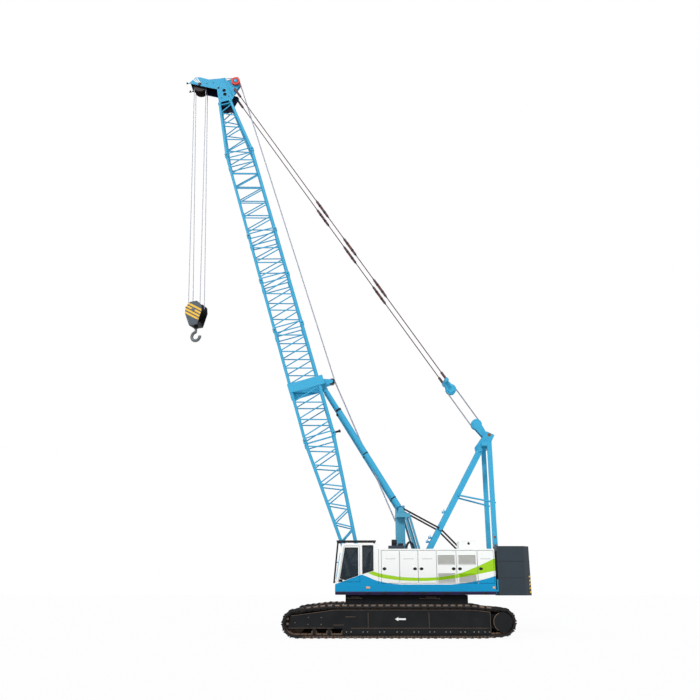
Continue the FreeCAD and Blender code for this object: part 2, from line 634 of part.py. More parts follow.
# ================================================================ machine houses
door_y0 = DECK_HALF_Y - DOOR_PANEL
door_z0 = SKIRT_TOP_Z + SILL + DOOR_GAP
door_z1 = HOUSE_TOP_Z - HEADER - DOOR_GAP
post_y1 = door_y0 - DOOR_GAP


def door_pin_xy(front_x, rear_x, hinge):
    if hinge == "front":
        return front_x - DOOR_GAP - DOOR_PIN_IN
    return rear_x + DOOR_GAP + DOOR_PIN_IN


def house(doors):
    """Roof, sill, posts and three walls of the left house; its doors are separate."""
    inner_wall = box(HOUSE_REAR_X, HOUSE_FRONT_X, HOUSE_IN_Y, HOUSE_IN_Y + HOUSE_WALL, FLOOR_TOP_Z,
                     HOUSE_TOP_Z)
    roof = box(HOUSE_REAR_X, HOUSE_FRONT_X, HOUSE_IN_Y, DECK_HALF_Y, HOUSE_TOP_Z - HEADER, HOUSE_TOP_Z)
    sill = box(HOUSE_REAR_X, HOUSE_FRONT_X, post_y1 - POST_DEPTH, DECK_HALF_Y, SKIRT_TOP_Z,
               SKIRT_TOP_Z + SILL)
    front = box(doors[0][0], HOUSE_FRONT_X, HOUSE_IN_Y, DECK_HALF_Y, SKIRT_TOP_Z, HOUSE_TOP_Z)
    front = front.cut(box(doors[0][0] - 1, HOUSE_FRONT_X - HOUSE_WALL, HOUSE_IN_Y + HOUSE_WALL,
                          post_y1 - POST_DEPTH, SKIRT_TOP_Z - 1, HOUSE_TOP_Z - HEADER))
    rear = box(HOUSE_REAR_X, doors[-1][1], HOUSE_IN_Y, DECK_HALF_Y, SKIRT_TOP_Z, HOUSE_TOP_Z)
    parts = [inner_wall, roof, sill, front, rear]
    for front_x, rear_x, hinge in doors:
        if rear_x != doors[-1][1]:
            parts.append(box(rear_x - POST_WIDTH / 2, rear_x + POST_WIDTH / 2, post_y1 - POST_DEPTH,
                             post_y1, SKIRT_TOP_Z, HOUSE_TOP_Z))
        pin_x = door_pin_xy(front_x, rear_x, hinge)
        pin_y = door_y0 + DOOR_PANEL / 2
        pin_reach = DOOR_GAP + DOOR_PIN_LENGTH
        parts.append(Part.makeCylinder(DOOR_PIN_R, pin_reach, Vec(pin_x, pin_y, SKIRT_TOP_Z + SILL)))
        parts.append(Part.makeCylinder(DOOR_PIN_R, pin_reach,
                                       Vec(pin_x, pin_y, HOUSE_TOP_Z - HEADER - pin_reach)))
    return fuse(parts)


def house_door(front_x, rear_x, hinge):
    panel = box(rear_x + DOOR_GAP, front_x - DOOR_GAP, door_y0, DECK_HALF_Y, door_z0, door_z1)
    pin_x = door_pin_xy(front_x, rear_x, hinge)
    pin_y = door_y0 + DOOR_PANEL / 2
    depth = DOOR_PIN_LENGTH + RUN_GAP
    panel = panel.cut(Part.makeCylinder(DOOR_PIN_R + RUN_GAP, depth, Vec(pin_x, pin_y, door_z0)))
    return panel.cut(Part.makeCylinder(DOOR_PIN_R + RUN_GAP, depth, Vec(pin_x, pin_y, door_z1 - depth)))


intake = box(INTAKE_REAR_X, INTAKE_FRONT_X, HOUSE_IN_Y + INTAKE_IN, DECK_HALF_Y - INTAKE_EDGE,
             HOUSE_TOP_Z, INTAKE_TOP_Z)
save("house_left", [house(LEFT_DOORS).fuse(intake).removeSplitter()])
save("house_right", [mirrored(house(RIGHT_DOORS))])
for number, (front_x, rear_x, hinge) in enumerate(LEFT_DOORS, 1):
    save("door_left_%d" % number, [house_door(front_x, rear_x, hinge)])
for number, (front_x, rear_x, hinge) in enumerate(RIGHT_DOORS, 1):
    save("door_right_%d" % number, [mirrored(house_door(front_x, rear_x, hinge))])

engine = box(ENGINE_REAR_X, ENGINE_FRONT_X, HOUSE_IN_Y + ENGINE_CLEAR,
             DECK_HALF_Y - DOOR_PANEL - ENGINE_CLEAR, FLOOR_TOP_Z, ENGINE_TOP_Z)
save("engine", [engine])
tank = box(HOUSE_FRONT_X + 40, TANK_FRONT_X, -floor_half_y, -HOUSE_IN_Y, FLOOR_TOP_Z, TANK_TOP_Z)
save("fuel_tank", [tank])

# ================================================================ cab
cab_slope = (CAB_FRONT_X - CAB_ROOF_FRONT_X) / (CAB_TOP_Z - SKIRT_TOP_Z)


def cab_front_at(z):
    return CAB_FRONT_X - (z - SKIRT_TOP_Z) * cab_slope


def cab_outline(inset, rear_inset, z0, z1, x0=CAB_REAR_X):
    return [(x0 + rear_inset, z0), (cab_front_at(z0) - inset, z0), (cab_front_at(z1) - inset, z1),
            (x0 + rear_inset, z1)]


door_pillar = 90.0
cab_sill_z = SKIRT_TOP_Z + 90.0
cab_head_z = CAB_TOP_Z - 80.0
cab_solid = plate(cab_outline(0, 0, SKIRT_TOP_Z, CAB_TOP_Z), CAB_IN_Y, DECK_HALF_Y)
cab_room = plate(cab_outline(CAB_WALL, CAB_WALL, SKIRT_TOP_Z + CAB_WALL, CAB_TOP_Z - CAB_WALL),
                 CAB_IN_Y + CAB_WALL, DECK_HALF_Y - CAB_WALL)
cab_door_hole = plate(cab_outline(door_pillar, 0, cab_sill_z, cab_head_z, CAB_DOOR_REAR_X),
                      DECK_HALF_Y - CAB_WALL - 1, DECK_HALF_Y + 1)
rear_pane = plate([(800.0, 2330.0), (1215.0, 2205.0), (1215.0, cab_head_z), (800.0, cab_head_z)],
                  DECK_HALF_Y - CAB_WALL - 1, DECK_HALF_Y + 1)
right_pane = plate(cab_outline(160, 190, 2150.0, cab_head_z), CAB_IN_Y - 1, CAB_IN_Y + CAB_WALL + 1)
window_y0 = CAB_IN_Y + 90.0
window_y1 = DECK_HALF_Y - 90.0
front_pane_z0 = 1980.0
front_pane = plate([(cab_front_at(front_pane_z0) - 200, front_pane_z0),
                    (cab_front_at(front_pane_z0) + 100, front_pane_z0),
                    (cab_front_at(cab_head_z) + 100, cab_head_z),
                    (cab_front_at(cab_head_z) - 200, cab_head_z)], window_y0, window_y1)
back_pane = box(CAB_REAR_X - 1, CAB_REAR_X + CAB_WALL + 1, window_y0, window_y1, 2250.0, cab_head_z)
roof_hatch = box(1150.0, 1750.0, window_y0 + 60, window_y1 - 60, CAB_TOP_Z - CAB_WALL - 1, CAB_TOP_Z + 1)
cab_shell = cab_solid.cut(cab_room)
for hole in (cab_door_hole, rear_pane, right_pane, front_pane, back_pane, roof_hatch):
    cab_shell = cab_shell.cut(hole)
cab_pin_x = CAB_DOOR_REAR_X + DOOR_GAP + CAB_WALL / 2
cab_pin_y = DECK_HALF_Y - CAB_WALL / 2
cab_pin_reach = DOOR_GAP + DOOR_PIN_LENGTH
cab_shell = fuse([cab_shell,
                  Part.makeCylinder(DOOR_PIN_R, cab_pin_reach, Vec(cab_pin_x, cab_pin_y, cab_sill_z)),
                  Part.makeCylinder(DOOR_PIN_R, cab_pin_reach,
                                    Vec(cab_pin_x, cab_pin_y, cab_head_z - cab_pin_reach))])
save("cab_shell", [cab_shell])

leaf_z0 = cab_sill_z + DOOR_GAP
leaf_z1 = cab_head_z - DOOR_GAP
leaf = plate(cab_outline(door_pillar + DOOR_GAP, DOOR_GAP, leaf_z0, leaf_z1, CAB_DOOR_REAR_X),
             DECK_HALF_Y - CAB_WALL, DECK_HALF_Y)
leaf_pane = [(CAB_DOOR_REAR_X + 80, 2150.0), (1871.0, 1985.0), (cab_front_at(2045.0) - 140, 2045.0),
             (cab_front_at(leaf_z1 - 70) - 140, leaf_z1 - 70), (CAB_DOOR_REAR_X + 80, leaf_z1 - 70)]
leaf = leaf.cut(plate(leaf_pane, DECK_HALF_Y - CAB_WALL - 1, DECK_HALF_Y + 1))
hole_depth = DOOR_PIN_LENGTH + RUN_GAP
for hole_z in (leaf_z0, leaf_z1 - hole_depth):
    leaf = leaf.cut(Part.makeCylinder(DOOR_PIN_R + RUN_GAP, hole_depth, Vec(cab_pin_x, cab_pin_y, hole_z)))
save("cab_door", [leaf])
glass_y = DECK_HALF_Y - CAB_WALL / 2
save("cab_door_glass", [plate(leaf_pane, glass_y - GLASS / 2, glass_y + GLASS / 2)])

panes = [
    rear_pane.common(box(0, 4000, glass_y - GLASS / 2, glass_y + GLASS / 2, 0, 4000)),
    right_pane.common(box(0, 4000, CAB_IN_Y + CAB_WALL / 2 - GLASS / 2, CAB_IN_Y + CAB_WALL / 2 + GLASS / 2,
                          0, 4000)),
    back_pane.common(box(CAB_REAR_X + CAB_WALL / 2 - GLASS / 2, CAB_REAR_X + CAB_WALL / 2 + GLASS / 2,
                         0, 4000, 0, 4000)),
    roof_hatch.common(box(0, 4000, 0, 4000, CAB_TOP_Z - CAB_WALL / 2 - GLASS / 2,
                          CAB_TOP_Z - CAB_WALL / 2 + GLASS / 2)),
    plate([(cab_front_at(front_pane_z0) - CAB_WALL / 2 - GLASS, front_pane_z0),
           (cab_front_at(front_pane_z0) - CAB_WALL / 2, front_pane_z0),
           (cab_front_at(cab_head_z) - CAB_WALL / 2, cab_head_z),
           (cab_front_at(cab_head_z) - CAB_WALL / 2 - GLASS, cab_head_z)], window_y0, window_y1),
]
save("cab_glass", panes)

seat_mid_y = (CAB_IN_Y + DECK_HALF_Y) / 2
cab_floor_z = SKIRT_TOP_Z + CAB_WALL
seat = fuse([
    box(950.0, 1450.0, seat_mid_y - 240, seat_mid_y + 240, 2230.0, 2360.0),
    box(850.0, 980.0, seat_mid_y - 240, seat_mid_y + 240, 2230.0, 2900.0),
    box(1000.0, 1350.0, seat_mid_y - 150, seat_mid_y + 150, cab_floor_z, 2230.0),
])
console = box(1850.0, 2010.0, seat_mid_y - 260, seat_mid_y + 260, cab_floor_z, 2380.0)
side_console = box(1000.0, 1500.0, CAB_IN_Y + CAB_WALL, CAB_IN_Y + CAB_WALL + 90, cab_floor_z, 2420.0)
save("cab_interior", [seat, console, side_console])

guard_z = CAB_TOP_Z + 70.0
guard_bars = [box(CAB_REAR_X + 90, CAB_ROOF_FRONT_X + 210, y, y + 40, guard_z, guard_z + 50)
              for y in (CAB_IN_Y + 20, seat_mid_y - 20, DECK_HALF_Y - 60)]
for x in (CAB_REAR_X + 90, 1000.0, 1400.0, 1800.0, CAB_ROOF_FRONT_X + 170):
    guard_bars.append(box(x, x + 40, CAB_IN_Y + 20, DECK_HALF_Y - 20, guard_z, guard_z + 50))
for x in (CAB_REAR_X + 120, CAB_ROOF_FRONT_X - 110):
    for y in (CAB_IN_Y + 20, DECK_HALF_Y - 60):
        guard_bars.append(box(x, x + 40, y, y + 40, CAB_TOP_Z, guard_z + 10))
save("roof_guard", [fuse(guard_bars)])

# ================================================================ counterweight
ballast_plan = [(BALLAST_FRONT_X, DECK_HALF_Y), (BALLAST_REAR_X + BALLAST_CHAMFER, DECK_HALF_Y),
                (BALLAST_REAR_X, DECK_HALF_Y - BALLAST_CHAMFER),
                (BALLAST_REAR_X, -DECK_HALF_Y + BALLAST_CHAMFER),
                (BALLAST_REAR_X + BALLAST_CHAMFER, -DECK_HALF_Y), (BALLAST_FRONT_X, -DECK_HALF_Y),
                (BALLAST_FRONT_X, -BALLAST_SLOT_HALF_Y), (BALLAST_SLOT_X, -BALLAST_SLOT_HALF_Y),
                (BALLAST_SLOT_X, BALLAST_SLOT_HALF_Y), (BALLAST_FRONT_X, BALLAST_SLOT_HALF_Y)]
slabs = []
for z0, z1 in zip(BALLAST_LEVELS[:-1], BALLAST_LEVELS[1:]):
    slabs.append(slab(ballast_plan, z0, z1))
save("counterweight", slabs)

# ================================================================ winches


def winch(x, z):
    """A grooved drum between two flanges, on a pair of stands bolted to the floor."""
    drum = [pin(x, z, DRUM_R, -DRUM_HALF, DRUM_HALF)]
    for side in (-1, 1):
        flange_y = side * (DRUM_HALF + DRUM_FLANGE / 2)
        drum.append(pin(x, z, DRUM_FLANGE_R, flange_y - DRUM_FLANGE / 2, flange_y + DRUM_FLANGE / 2))
        stand_y = side * (DRUM_HALF + DRUM_FLANGE + 40)
        drum.append(plate([(x - 300, FLOOR_TOP_Z), (x + 300, FLOOR_TOP_Z), (x + 120, z + 120),
                           (x - 120, z + 120)], stand_y - 40, stand_y + 40))
    return fuse(drum)


save("hoist_winch", [winch(HOIST_DRUM_X, HOIST_DRUM_Z)])
save("luff_winch", [winch(LUFF_DRUM_X, LUFF_DRUM_Z)])

# ================================================================ backstop portal
post_y1 = STRUT_Y - STRUT_R - SIDE_GAP
strut_eye_half = STRUT_EYE_PLATE / 2
ear_in_face = STRUT_Y - strut_eye_half - SIDE_GAP
ear_out_face = STRUT_Y + strut_eye_half + SIDE_GAP
ear_outside = ear_out_face + EAR_PLATE
portal_front_x = PORTAL_X + PORTAL_DEPTH / 2
portal_rear_x = PORTAL_X - PORTAL_DEPTH / 2
yoke_top_z = STRUT_FOOT_Z - STRUT_EYE_R - 40
yoke_bottom_z = yoke_top_z - 170
brace_y = ear_outside + BRACE_R + 8


def portal_ear(y0, y1):
    ear = plate([(portal_rear_x - 60, yoke_bottom_z), (STRUT_FOOT_X - PORTAL_EYE_R, STRUT_FOOT_Z),
                 (STRUT_FOOT_X + PORTAL_EYE_R, STRUT_FOOT_Z), (portal_front_x, yoke_bottom_z)], y0, y1)
    return ear.fuse(pin(STRUT_FOOT_X, STRUT_FOOT_Z, PORTAL_EYE_R, y0, y1))


brace_top = Vec(portal_rear_x - 135, brace_y, yoke_top_z)
brace_foot = Vec(BRACE_FOOT_X, brace_y, FLOOR_TOP_Z)
brace_side = Vec(BRACE_SPREAD, 0, 0)
left_portal = fuse([
    box(portal_rear_x, portal_front_x, post_y1 - PORTAL_WIDTH, post_y1, FLOOR_TOP_Z, PORTAL_TOP_Z),
    portal_ear(post_y1, ear_in_face),
    portal_ear(ear_out_face, ear_outside),
    box(brace_top.x - BRACE_R, portal_front_x, post_y1 - PORTAL_WIDTH, brace_y + BRACE_R, yoke_bottom_z,
        yoke_top_z),
    pin(STRUT_FOOT_X, STRUT_FOOT_Z, STRUT_PIN_R, post_y1, ear_outside),
    rod(brace_foot, brace_top, BRACE_R),
    rod(brace_foot + brace_side, brace_top + brace_side, BRACE_R),
])
portal_tie = box(portal_rear_x, portal_front_x, -post_y1, post_y1, yoke_bottom_z, yoke_top_z)
portal = fuse([left_portal, mirrored(left_portal), portal_tie])
portal = portal.common(box(-6000, 6000, -3000, 3000, FLOOR_TOP_Z, 9000))
save("backstop_portal", [portal])

# ================================================================ gantry
mast_length = math.hypot(MAST_TOP_X - MAST_FOOT_X, MAST_TOP_Z - MAST_FOOT_Z)
mast_angle = math.degrees(math.atan2(MAST_TOP_Z - MAST_FOOT_Z, MAST_TOP_X - MAST_FOOT_X))


def mast_x_at(z):
    return MAST_FOOT_X + (z - MAST_FOOT_Z) * (MAST_TOP_X - MAST_FOOT_X) / (MAST_TOP_Z - MAST_FOOT_Z)


mast_leg = fuse([
    box(-MAST_DEPTH / 2, MAST_DEPTH / 2, mast_in_y, mast_in_y + MAST_WIDTH, 0, mast_length),
    pin(0, 0, MAST_DEPTH / 2, mast_in_y, mast_in_y + MAST_WIDTH),
    pin(0, mast_length, MAST_DEPTH / 2, mast_in_y, mast_in_y + MAST_WIDTH),
])
mast_leg = mast_leg.cut(pin(0, 0, MAST_PIN_R + RUN_GAP, mast_in_y - 1, mast_in_y + MAST_WIDTH + 1))
mast_leg = leaned(mast_leg, mast_angle, MAST_FOOT_X, MAST_FOOT_Z)
stay_cross_z = 3960.0
stay_cross_x = mast_x_at(stay_cross_z)
stay_y = brace_y - BRACE_R - SIDE_GAP - STAY_ROD_R
cross_pin_y = stay_y + STAY_ROD_R
crosshead_y = REAR_LEG_Y + REAR_LEG_WIDTH / 2
crosshead_x = mast_x_at(REAR_LEG_TOP_Z)
head_plate = plate([(MAST_TOP_X + 30, MAST_TOP_Z + 220), (MAST_TOP_X - 290, MAST_TOP_Z + 60),
                    (MAST_TOP_X - 20, REAR_LEG_TOP_Z - 40), (crosshead_x + 140, REAR_LEG_TOP_Z - 220),
                    (crosshead_x + 200, REAR_LEG_TOP_Z + 100)],
                   mast_in_y + MAST_WIDTH, mast_in_y + MAST_WIDTH + MAST_HEAD_PLATE)
mast = fuse([
    mast_leg, mirrored(mast_leg), head_plate, mirrored(head_plate),
    box(REAR_LEG_X - REAR_LEG_DEPTH / 2, crosshead_x + 60, -crosshead_y, crosshead_y, REAR_LEG_TOP_Z,
        REAR_LEG_TOP_Z + 140),
    pin(MAST_TOP_X, MAST_TOP_Z, GANTRY_SHAFT_R, -mast_in_y, mast_in_y),
    pin(stay_cross_x, stay_cross_z, GANTRY_SHAFT_R, -cross_pin_y, cross_pin_y),
    pin(mast_x_at(MAST_TIE_Z), MAST_TIE_Z, GANTRY_SHAFT_R, -mast_in_y, mast_in_y),
])
save("gantry_mast", [mast])

tie_y = MAST_Y + MAST_WIDTH / 2
rear_leg = fuse([
    box(REAR_LEG_X - REAR_LEG_DEPTH / 2, REAR_LEG_X + REAR_LEG_DEPTH / 2, REAR_LEG_Y - REAR_LEG_WIDTH / 2,
        REAR_LEG_Y + REAR_LEG_WIDTH / 2, REAR_LEG_FOOT_Z, REAR_LEG_TOP_Z),
    rod(Vec(mast_x_at(TIE_MAST_Z), tie_y + TIE_R, TIE_MAST_Z), Vec(REAR_LEG_X - 130, REAR_LEG_Y, TIE_REAR_Z),
        TIE_R),
])
rear_leg = rear_leg.cut(mast_leg)
save("gantry_rear_legs", both_sides(rear_leg))

stay_post_x = -2720.0
stay_post_z = 3190.0
front_stay = rod(Vec(STRUT_FOOT_X - 50, stay_y, STRUT_FOOT_Z + 75), Vec(stay_cross_x, stay_y, stay_cross_z),
                 STAY_ROD_R)
front_stay = front_stay.cut(pin(STRUT_FOOT_X, STRUT_FOOT_Z, PORTAL_EYE_R + RUN_GAP, 0, 900))
front_stay = front_stay.cut(pin(stay_cross_x, stay_cross_z, GANTRY_SHAFT_R + RUN_GAP, 0, 900))
front_stay = front_stay.cut(portal)
rear_stay = rod(Vec(stay_cross_x, stay_y, stay_cross_z), Vec(stay_post_x, stay_y, stay_post_z), STAY_ROD_R)
rear_stay = rear_stay.cut(pin(stay_cross_x, stay_cross_z, GANTRY_SHAFT_R + RUN_GAP, 0, 900))
stay_post = box(stay_post_x - 60, stay_post_x + 60, stay_y - 50, stay_y + 50, FLOOR_TOP_Z, stay_post_z + 40)
rear_stay = rear_stay.fuse(stay_post).removeSplitter()
save("portal_stays", both_sides(front_stay) + both_sides(rear_stay))

# ================================================================ boom lattice
# Built upright, with the boom's axis along Z and its foot pin at the origin, then leaned.


def chord_at(s):
    """Half spread of the chord centre lines, fore-and-aft and across, at a height on the boom."""
    straight0 = BOOM_JOINTS[0]
    straight1 = BOOM_JOINTS[-2]
    if s < straight0:
        share = (s - FOOT_PLATE_END) / (straight0 - FOOT_PLATE_END)
        return BASE_END_T + (CHORD_T - BASE_END_T) * share, CHORD_Y
    if s > straight1:
        share = (s - straight1) / (BOOM_JOINTS[-1] - straight1)
        return CHORD_T + (TOP_END_T - CHORD_T) * share, CHORD_Y + (TOP_END_Y - CHORD_Y) * share
    return CHORD_T, CHORD_Y


def chord_point(s, side_t, side_y):
    t, y = chord_at(s)
    return Vec(side_t * t, side_y * y, s)


def chord_tube(s0, s1, side_t, side_y):
    a = chord_point(s0, side_t, side_y)
    b = chord_point(s1, side_t, side_y)
    inset = (b - a) * (FLANGE_LENGTH / 2 / (s1 - s0))
    return fuse([
        rod(a + inset, b - inset, CHORD_R),
        rod(a, a + Vec(0, 0, FLANGE_LENGTH), FLANGE_R),
        rod(b - Vec(0, 0, FLANGE_LENGTH), b, FLANGE_R),
    ])


def chord_cutter(s0, s1, side_t, side_y):
    a = chord_point(s0, side_t, side_y)
    b = chord_point(s1, side_t, side_y)
    return rod(a, b, CHORD_R + RUN_GAP)


def section(s0, s1):
    """Four chords, a batten frame at each end, and one zigzag of lacings on each of four faces."""
    count = round((s1 - s0 - 2 * LACE_MARGIN) / LACE_STEP)
    step = (s1 - s0 - 2 * LACE_MARGIN) / count
    straight = chord_at(s0) == chord_at(s1)
    fore_left = chord_cutter(s0, s1, 1, 1)
    aft_left = chord_cutter(s0, s1, -1, 1)
    fore_right = chord_cutter(s0, s1, 1, -1)

    def laced(sa, sb, end_a, end_b, cutter_a, cutter_b):
        tube = rod(chord_point(sa, *end_a), chord_point(sb, *end_b), LACE_R)
        return tube.cut(cutter_a).cut(cutter_b)

    solids = []
    for side_t in (1, -1):
        for side_y in (1, -1):
            solids.append(chord_tube(s0, s1, side_t, side_y))
    for s in (s0 + BATTEN_MARGIN, s1 - BATTEN_MARGIN):
        solids += both_sides(laced(s, s, (1, 1), (-1, 1), fore_left, aft_left))
        front = laced(s, s, (1, 1), (1, -1), fore_left, fore_right)
        solids += [front, front.mirror(Vec(0, 0, 0), Vec(1, 0, 0))]
    side_pair = []
    front_pair = []
    for k in range(count):
        sa = s0 + LACE_MARGIN + k * step + LACE_SPLIT
        sb = sa + step - 2 * LACE_SPLIT
        if straight and k > 1:
            side = moved(side_pair[k % 2], 0, 0, (k - k % 2) * step)
            front = moved(front_pair[k % 2], 0, 0, (k - k % 2) * step)
        elif k % 2 == 0:
            side = laced(sa, sb, (1, 1), (-1, 1), fore_left, aft_left)
            front = laced(sa, sb, (1, 1), (1, -1), fore_left, fore_right)
        else:
            side = laced(sa, sb, (-1, 1), (1, 1), aft_left, fore_left)
            front = laced(sa, sb, (1, -1), (1, 1), fore_right, fore_left)
        side_pair.append(side)
        front_pair.append(front)
        solids += both_sides(side)
        solids += [front, front.mirror(Vec(0, 0, 0), Vec(1, 0, 0))]
    return solids


def on_boom(shape):
    return leaned(shape, BOOM_ANGLE, BOOM_FOOT_X, BOOM_FOOT_Z)


foot_half = BASE_END_T + FLANGE_R
foot_y0 = CHORD_Y - FOOT_PLATE / 2
foot_plate = plate([(-FOOT_BOSS_R, 0), (-foot_half, FOOT_PLATE_END - FLANGE_LENGTH),
                    (-foot_half, FOOT_PLATE_END), (foot_half, FOOT_PLATE_END),
                    (foot_half, FOOT_PLATE_END - FLANGE_LENGTH), (FOOT_BOSS_R, 0)],
                   foot_y0, foot_y0 + FOOT_PLATE)
foot_plate = foot_plate.fuse(pin(0, 0, FOOT_BOSS_R, foot_y0, foot_y0 + FOOT_PLATE))
foot_plate = foot_plate.cut(pin(0, 0, FOOT_PIN_R + RUN_GAP, foot_y0 - 1, foot_y0 + FOOT_PLATE + 1))
joints = [FOOT_PLATE_END] + BOOM_JOINTS
base_solids = section(joints[0], joints[1] - RUN_GAP) + both_sides(foot_plate)
save("boom_base", [on_boom(solid) for solid in base_solids])
insert_solids = []
for s0, s1 in zip(joints[1:-2], joints[2:-1]):
    insert_solids += section(s0, s1 - RUN_GAP)
save("boom_inserts", [on_boom(solid) for solid in insert_solids])
save("boom_top", [on_boom(solid) for solid in section(joints[-2], joints[-1])])

# ================================================================ cross beam of the boom
cross_y0 = CHORD_Y + CHORD_R + RUN_GAP
cross_y1 = cross_y0 + CROSS_PLATE
back_face_t = CHORD_T + CHORD_R + RUN_GAP
side_web = box(-CROSS_BACK_T, CROSS_REACH_T, cross_y0, cross_y1, CROSS_S, CROSS_S + CROSS_DEPTH)
strut_lug_y0 = STRUT_Y - strut_eye_half - SIDE_GAP - STAY_PLATE
strut_lug = plate([(STRUT_TOP_T - STRUT_EYE_R, STRUT_TOP_S), (-CROSS_BACK_T, CROSS_S + 60),
                   (-back_face_t - 20, CROSS_S + 60), (STRUT_TOP_T + STRUT_EYE_R - 10, STRUT_TOP_S)],
                  strut_lug_y0, strut_lug_y0 + STAY_PLATE)
strut_lug = strut_lug.fuse(pin(STRUT_TOP_T, STRUT_TOP_S, STRUT_EYE_R - 10, strut_lug_y0,
                               strut_lug_y0 + STAY_PLATE))
arm_y0 = ROPE_ROLLER_HALF + SIDE_GAP
arm = plate([(-CROSS_BACK_T, CROSS_S + 40), (ROPE_ROLLER_T, ROPE_ROLLER_S - 80),
             (ROPE_ROLLER_T - 60, ROPE_ROLLER_S), (ROPE_ROLLER_T, ROPE_ROLLER_S + 80),
             (-CROSS_BACK_T, CROSS_S + CROSS_DEPTH - 60)], arm_y0, arm_y0 + ROLLER_ARM)
cross_beam = fuse([
    side_web, mirrored(side_web),
    box(-CROSS_BACK_T, -back_face_t, -cross_y1, cross_y1, CROSS_S, CROSS_S + CROSS_DEPTH),
    strut_lug, mirrored(strut_lug), arm, mirrored(arm),
    pin(ROPE_ROLLER_T, ROPE_ROLLER_S, 30, -arm_y0, arm_y0),
])
save("boom_cross_beam", [on_boom(cross_beam)])
rope_roller = pin(ROPE_ROLLER_T, ROPE_ROLLER_S, ROPE_ROLLER_R, -ROPE_ROLLER_HALF, ROPE_ROLLER_HALF)
rope_roller = rope_roller.cut(pin(ROPE_ROLLER_T, ROPE_ROLLER_S, 30 + RUN_GAP, -arm_y0, arm_y0))
save("rope_roller", [on_boom(rope_roller)])

# ================================================================ boom head
head_s = BOOM_JOINTS[-1]
head_side_y0 = HEAD_HALF_Y - HEAD_PLATE
profile = [(t, head_s + up) for up, t in HEAD_FRONT + HEAD_TOP + HEAD_REAR]
head_side = plate(profile, head_side_y0, HEAD_HALF_Y)
guide_y = HORN_Y + SIDE_GAP + GUIDE_SHEAVE_WIDTH / 2
guide_out_y = guide_y + GUIDE_SHEAVE_WIDTH / 2 + SIDE_GAP
head_base = box(-372.0, 300.0, -HEAD_HALF_Y, HEAD_HALF_Y, head_s, head_s + HEAD_BASE)
tip_t = HEAD_FRONT[-1][1]
tip_s = head_s + HEAD_FRONT[-1][0]
nose_t = tip_t + (HEAD_TOP[0][1] - tip_t) / 10
nose_s = tip_s + (head_s + HEAD_TOP[0][0] - tip_s) / 10
cover_top = [(nose_t, nose_s)] + [(t, head_s + up) for up, t in HEAD_TOP]
cover_under = [(t, s - HEAD_COVER) for t, s in reversed(cover_top)]
cover = plate(cover_top + cover_under, -head_side_y0, head_side_y0)
front_web = plate([(HEAD_FRONT[0][1], head_s + HEAD_BASE / 2), (HEAD_FRONT[1][1], head_s + HEAD_FRONT[1][0]),
                   (HEAD_FRONT[1][1] - HEAD_COVER, head_s + HEAD_FRONT[1][0]),
                   (HEAD_FRONT[0][1] - HEAD_COVER, head_s + HEAD_BASE / 2)], -head_side_y0, head_side_y0)
horn = plate([(t, head_s + up) for up, t in HORN], HORN_Y - HORN_PLATE, HORN_Y)
horn_spacer = box(-330.0, -270.0, -head_side_y0, head_side_y0, head_s + 520.0, head_s + 1320.0)
stay_boss_y1 = STAY_Y - STAY_PLATE / 2 - SIDE_GAP
sheave_s = head_s + HEAD_SHEAVE_UP
guide_s = head_s + GUIDE_SHEAVE_UP
stay_s = head_s + STAY_TOP_UP
prong = rod(Vec(tip_t - 60, HEAD_HALF_Y - HEAD_PLATE / 2, tip_s - 20),
            Vec(tip_t + PRONG_LENGTH, HEAD_HALF_Y - HEAD_PLATE / 2, tip_s - 20), PRONG_R)
head = fuse([
    head_side, mirrored(head_side), head_base, cover, front_web, prong, mirrored(prong),
    pin(HEAD_SHEAVE_T, sheave_s, SHEAVE_SHAFT_R, -head_side_y0, head_side_y0),
    pin(GUIDE_SHEAVE_T, guide_s, SHEAVE_SHAFT_R, -guide_out_y, guide_out_y),
    pin(STAY_TOP_T, stay_s, STAY_EYE_R, head_side_y0, stay_boss_y1),
    pin(STAY_TOP_T, stay_s, STAY_EYE_R, -stay_boss_y1, -head_side_y0),
    horn, mirrored(horn), horn_spacer,
])
save("boom_head", [on_boom(head)])
groove_half = ROPE_R + 3.0
groove_r = SHEAVE_PITCH_R - ROPE_R - RUN_GAP
head_sheaves = [sheave(HEAD_SHEAVE_T, sheave_s, SHEAVE_RIM_R, groove_r, groove_half, SHEAVE_WIDTH, y,
                       SHEAVE_SHAFT_R + RUN_GAP) for y in (-SHEAVE_Y, SHEAVE_Y)]
save("head_sheaves", [on_boom(wheel) for wheel in head_sheaves])
guides = [sheave(GUIDE_SHEAVE_T, guide_s, GUIDE_SHEAVE_R, GUIDE_SHEAVE_R - 45, groove_half,
                 GUIDE_SHEAVE_WIDTH, y, SHEAVE_SHAFT_R + RUN_GAP) for y in (-guide_y, guide_y)]
save("guide_sheaves", [on_boom(wheel) for wheel in guides])


def boom_place(t, s):
    """Ground-frame X and Z of a point given on the boom."""
    a = math.radians(BOOM_ANGLE)
    return (BOOM_FOOT_X + s * math.cos(a) + t * math.sin(a), BOOM_FOOT_Z + s * math.sin(a) - t * math.cos(a))


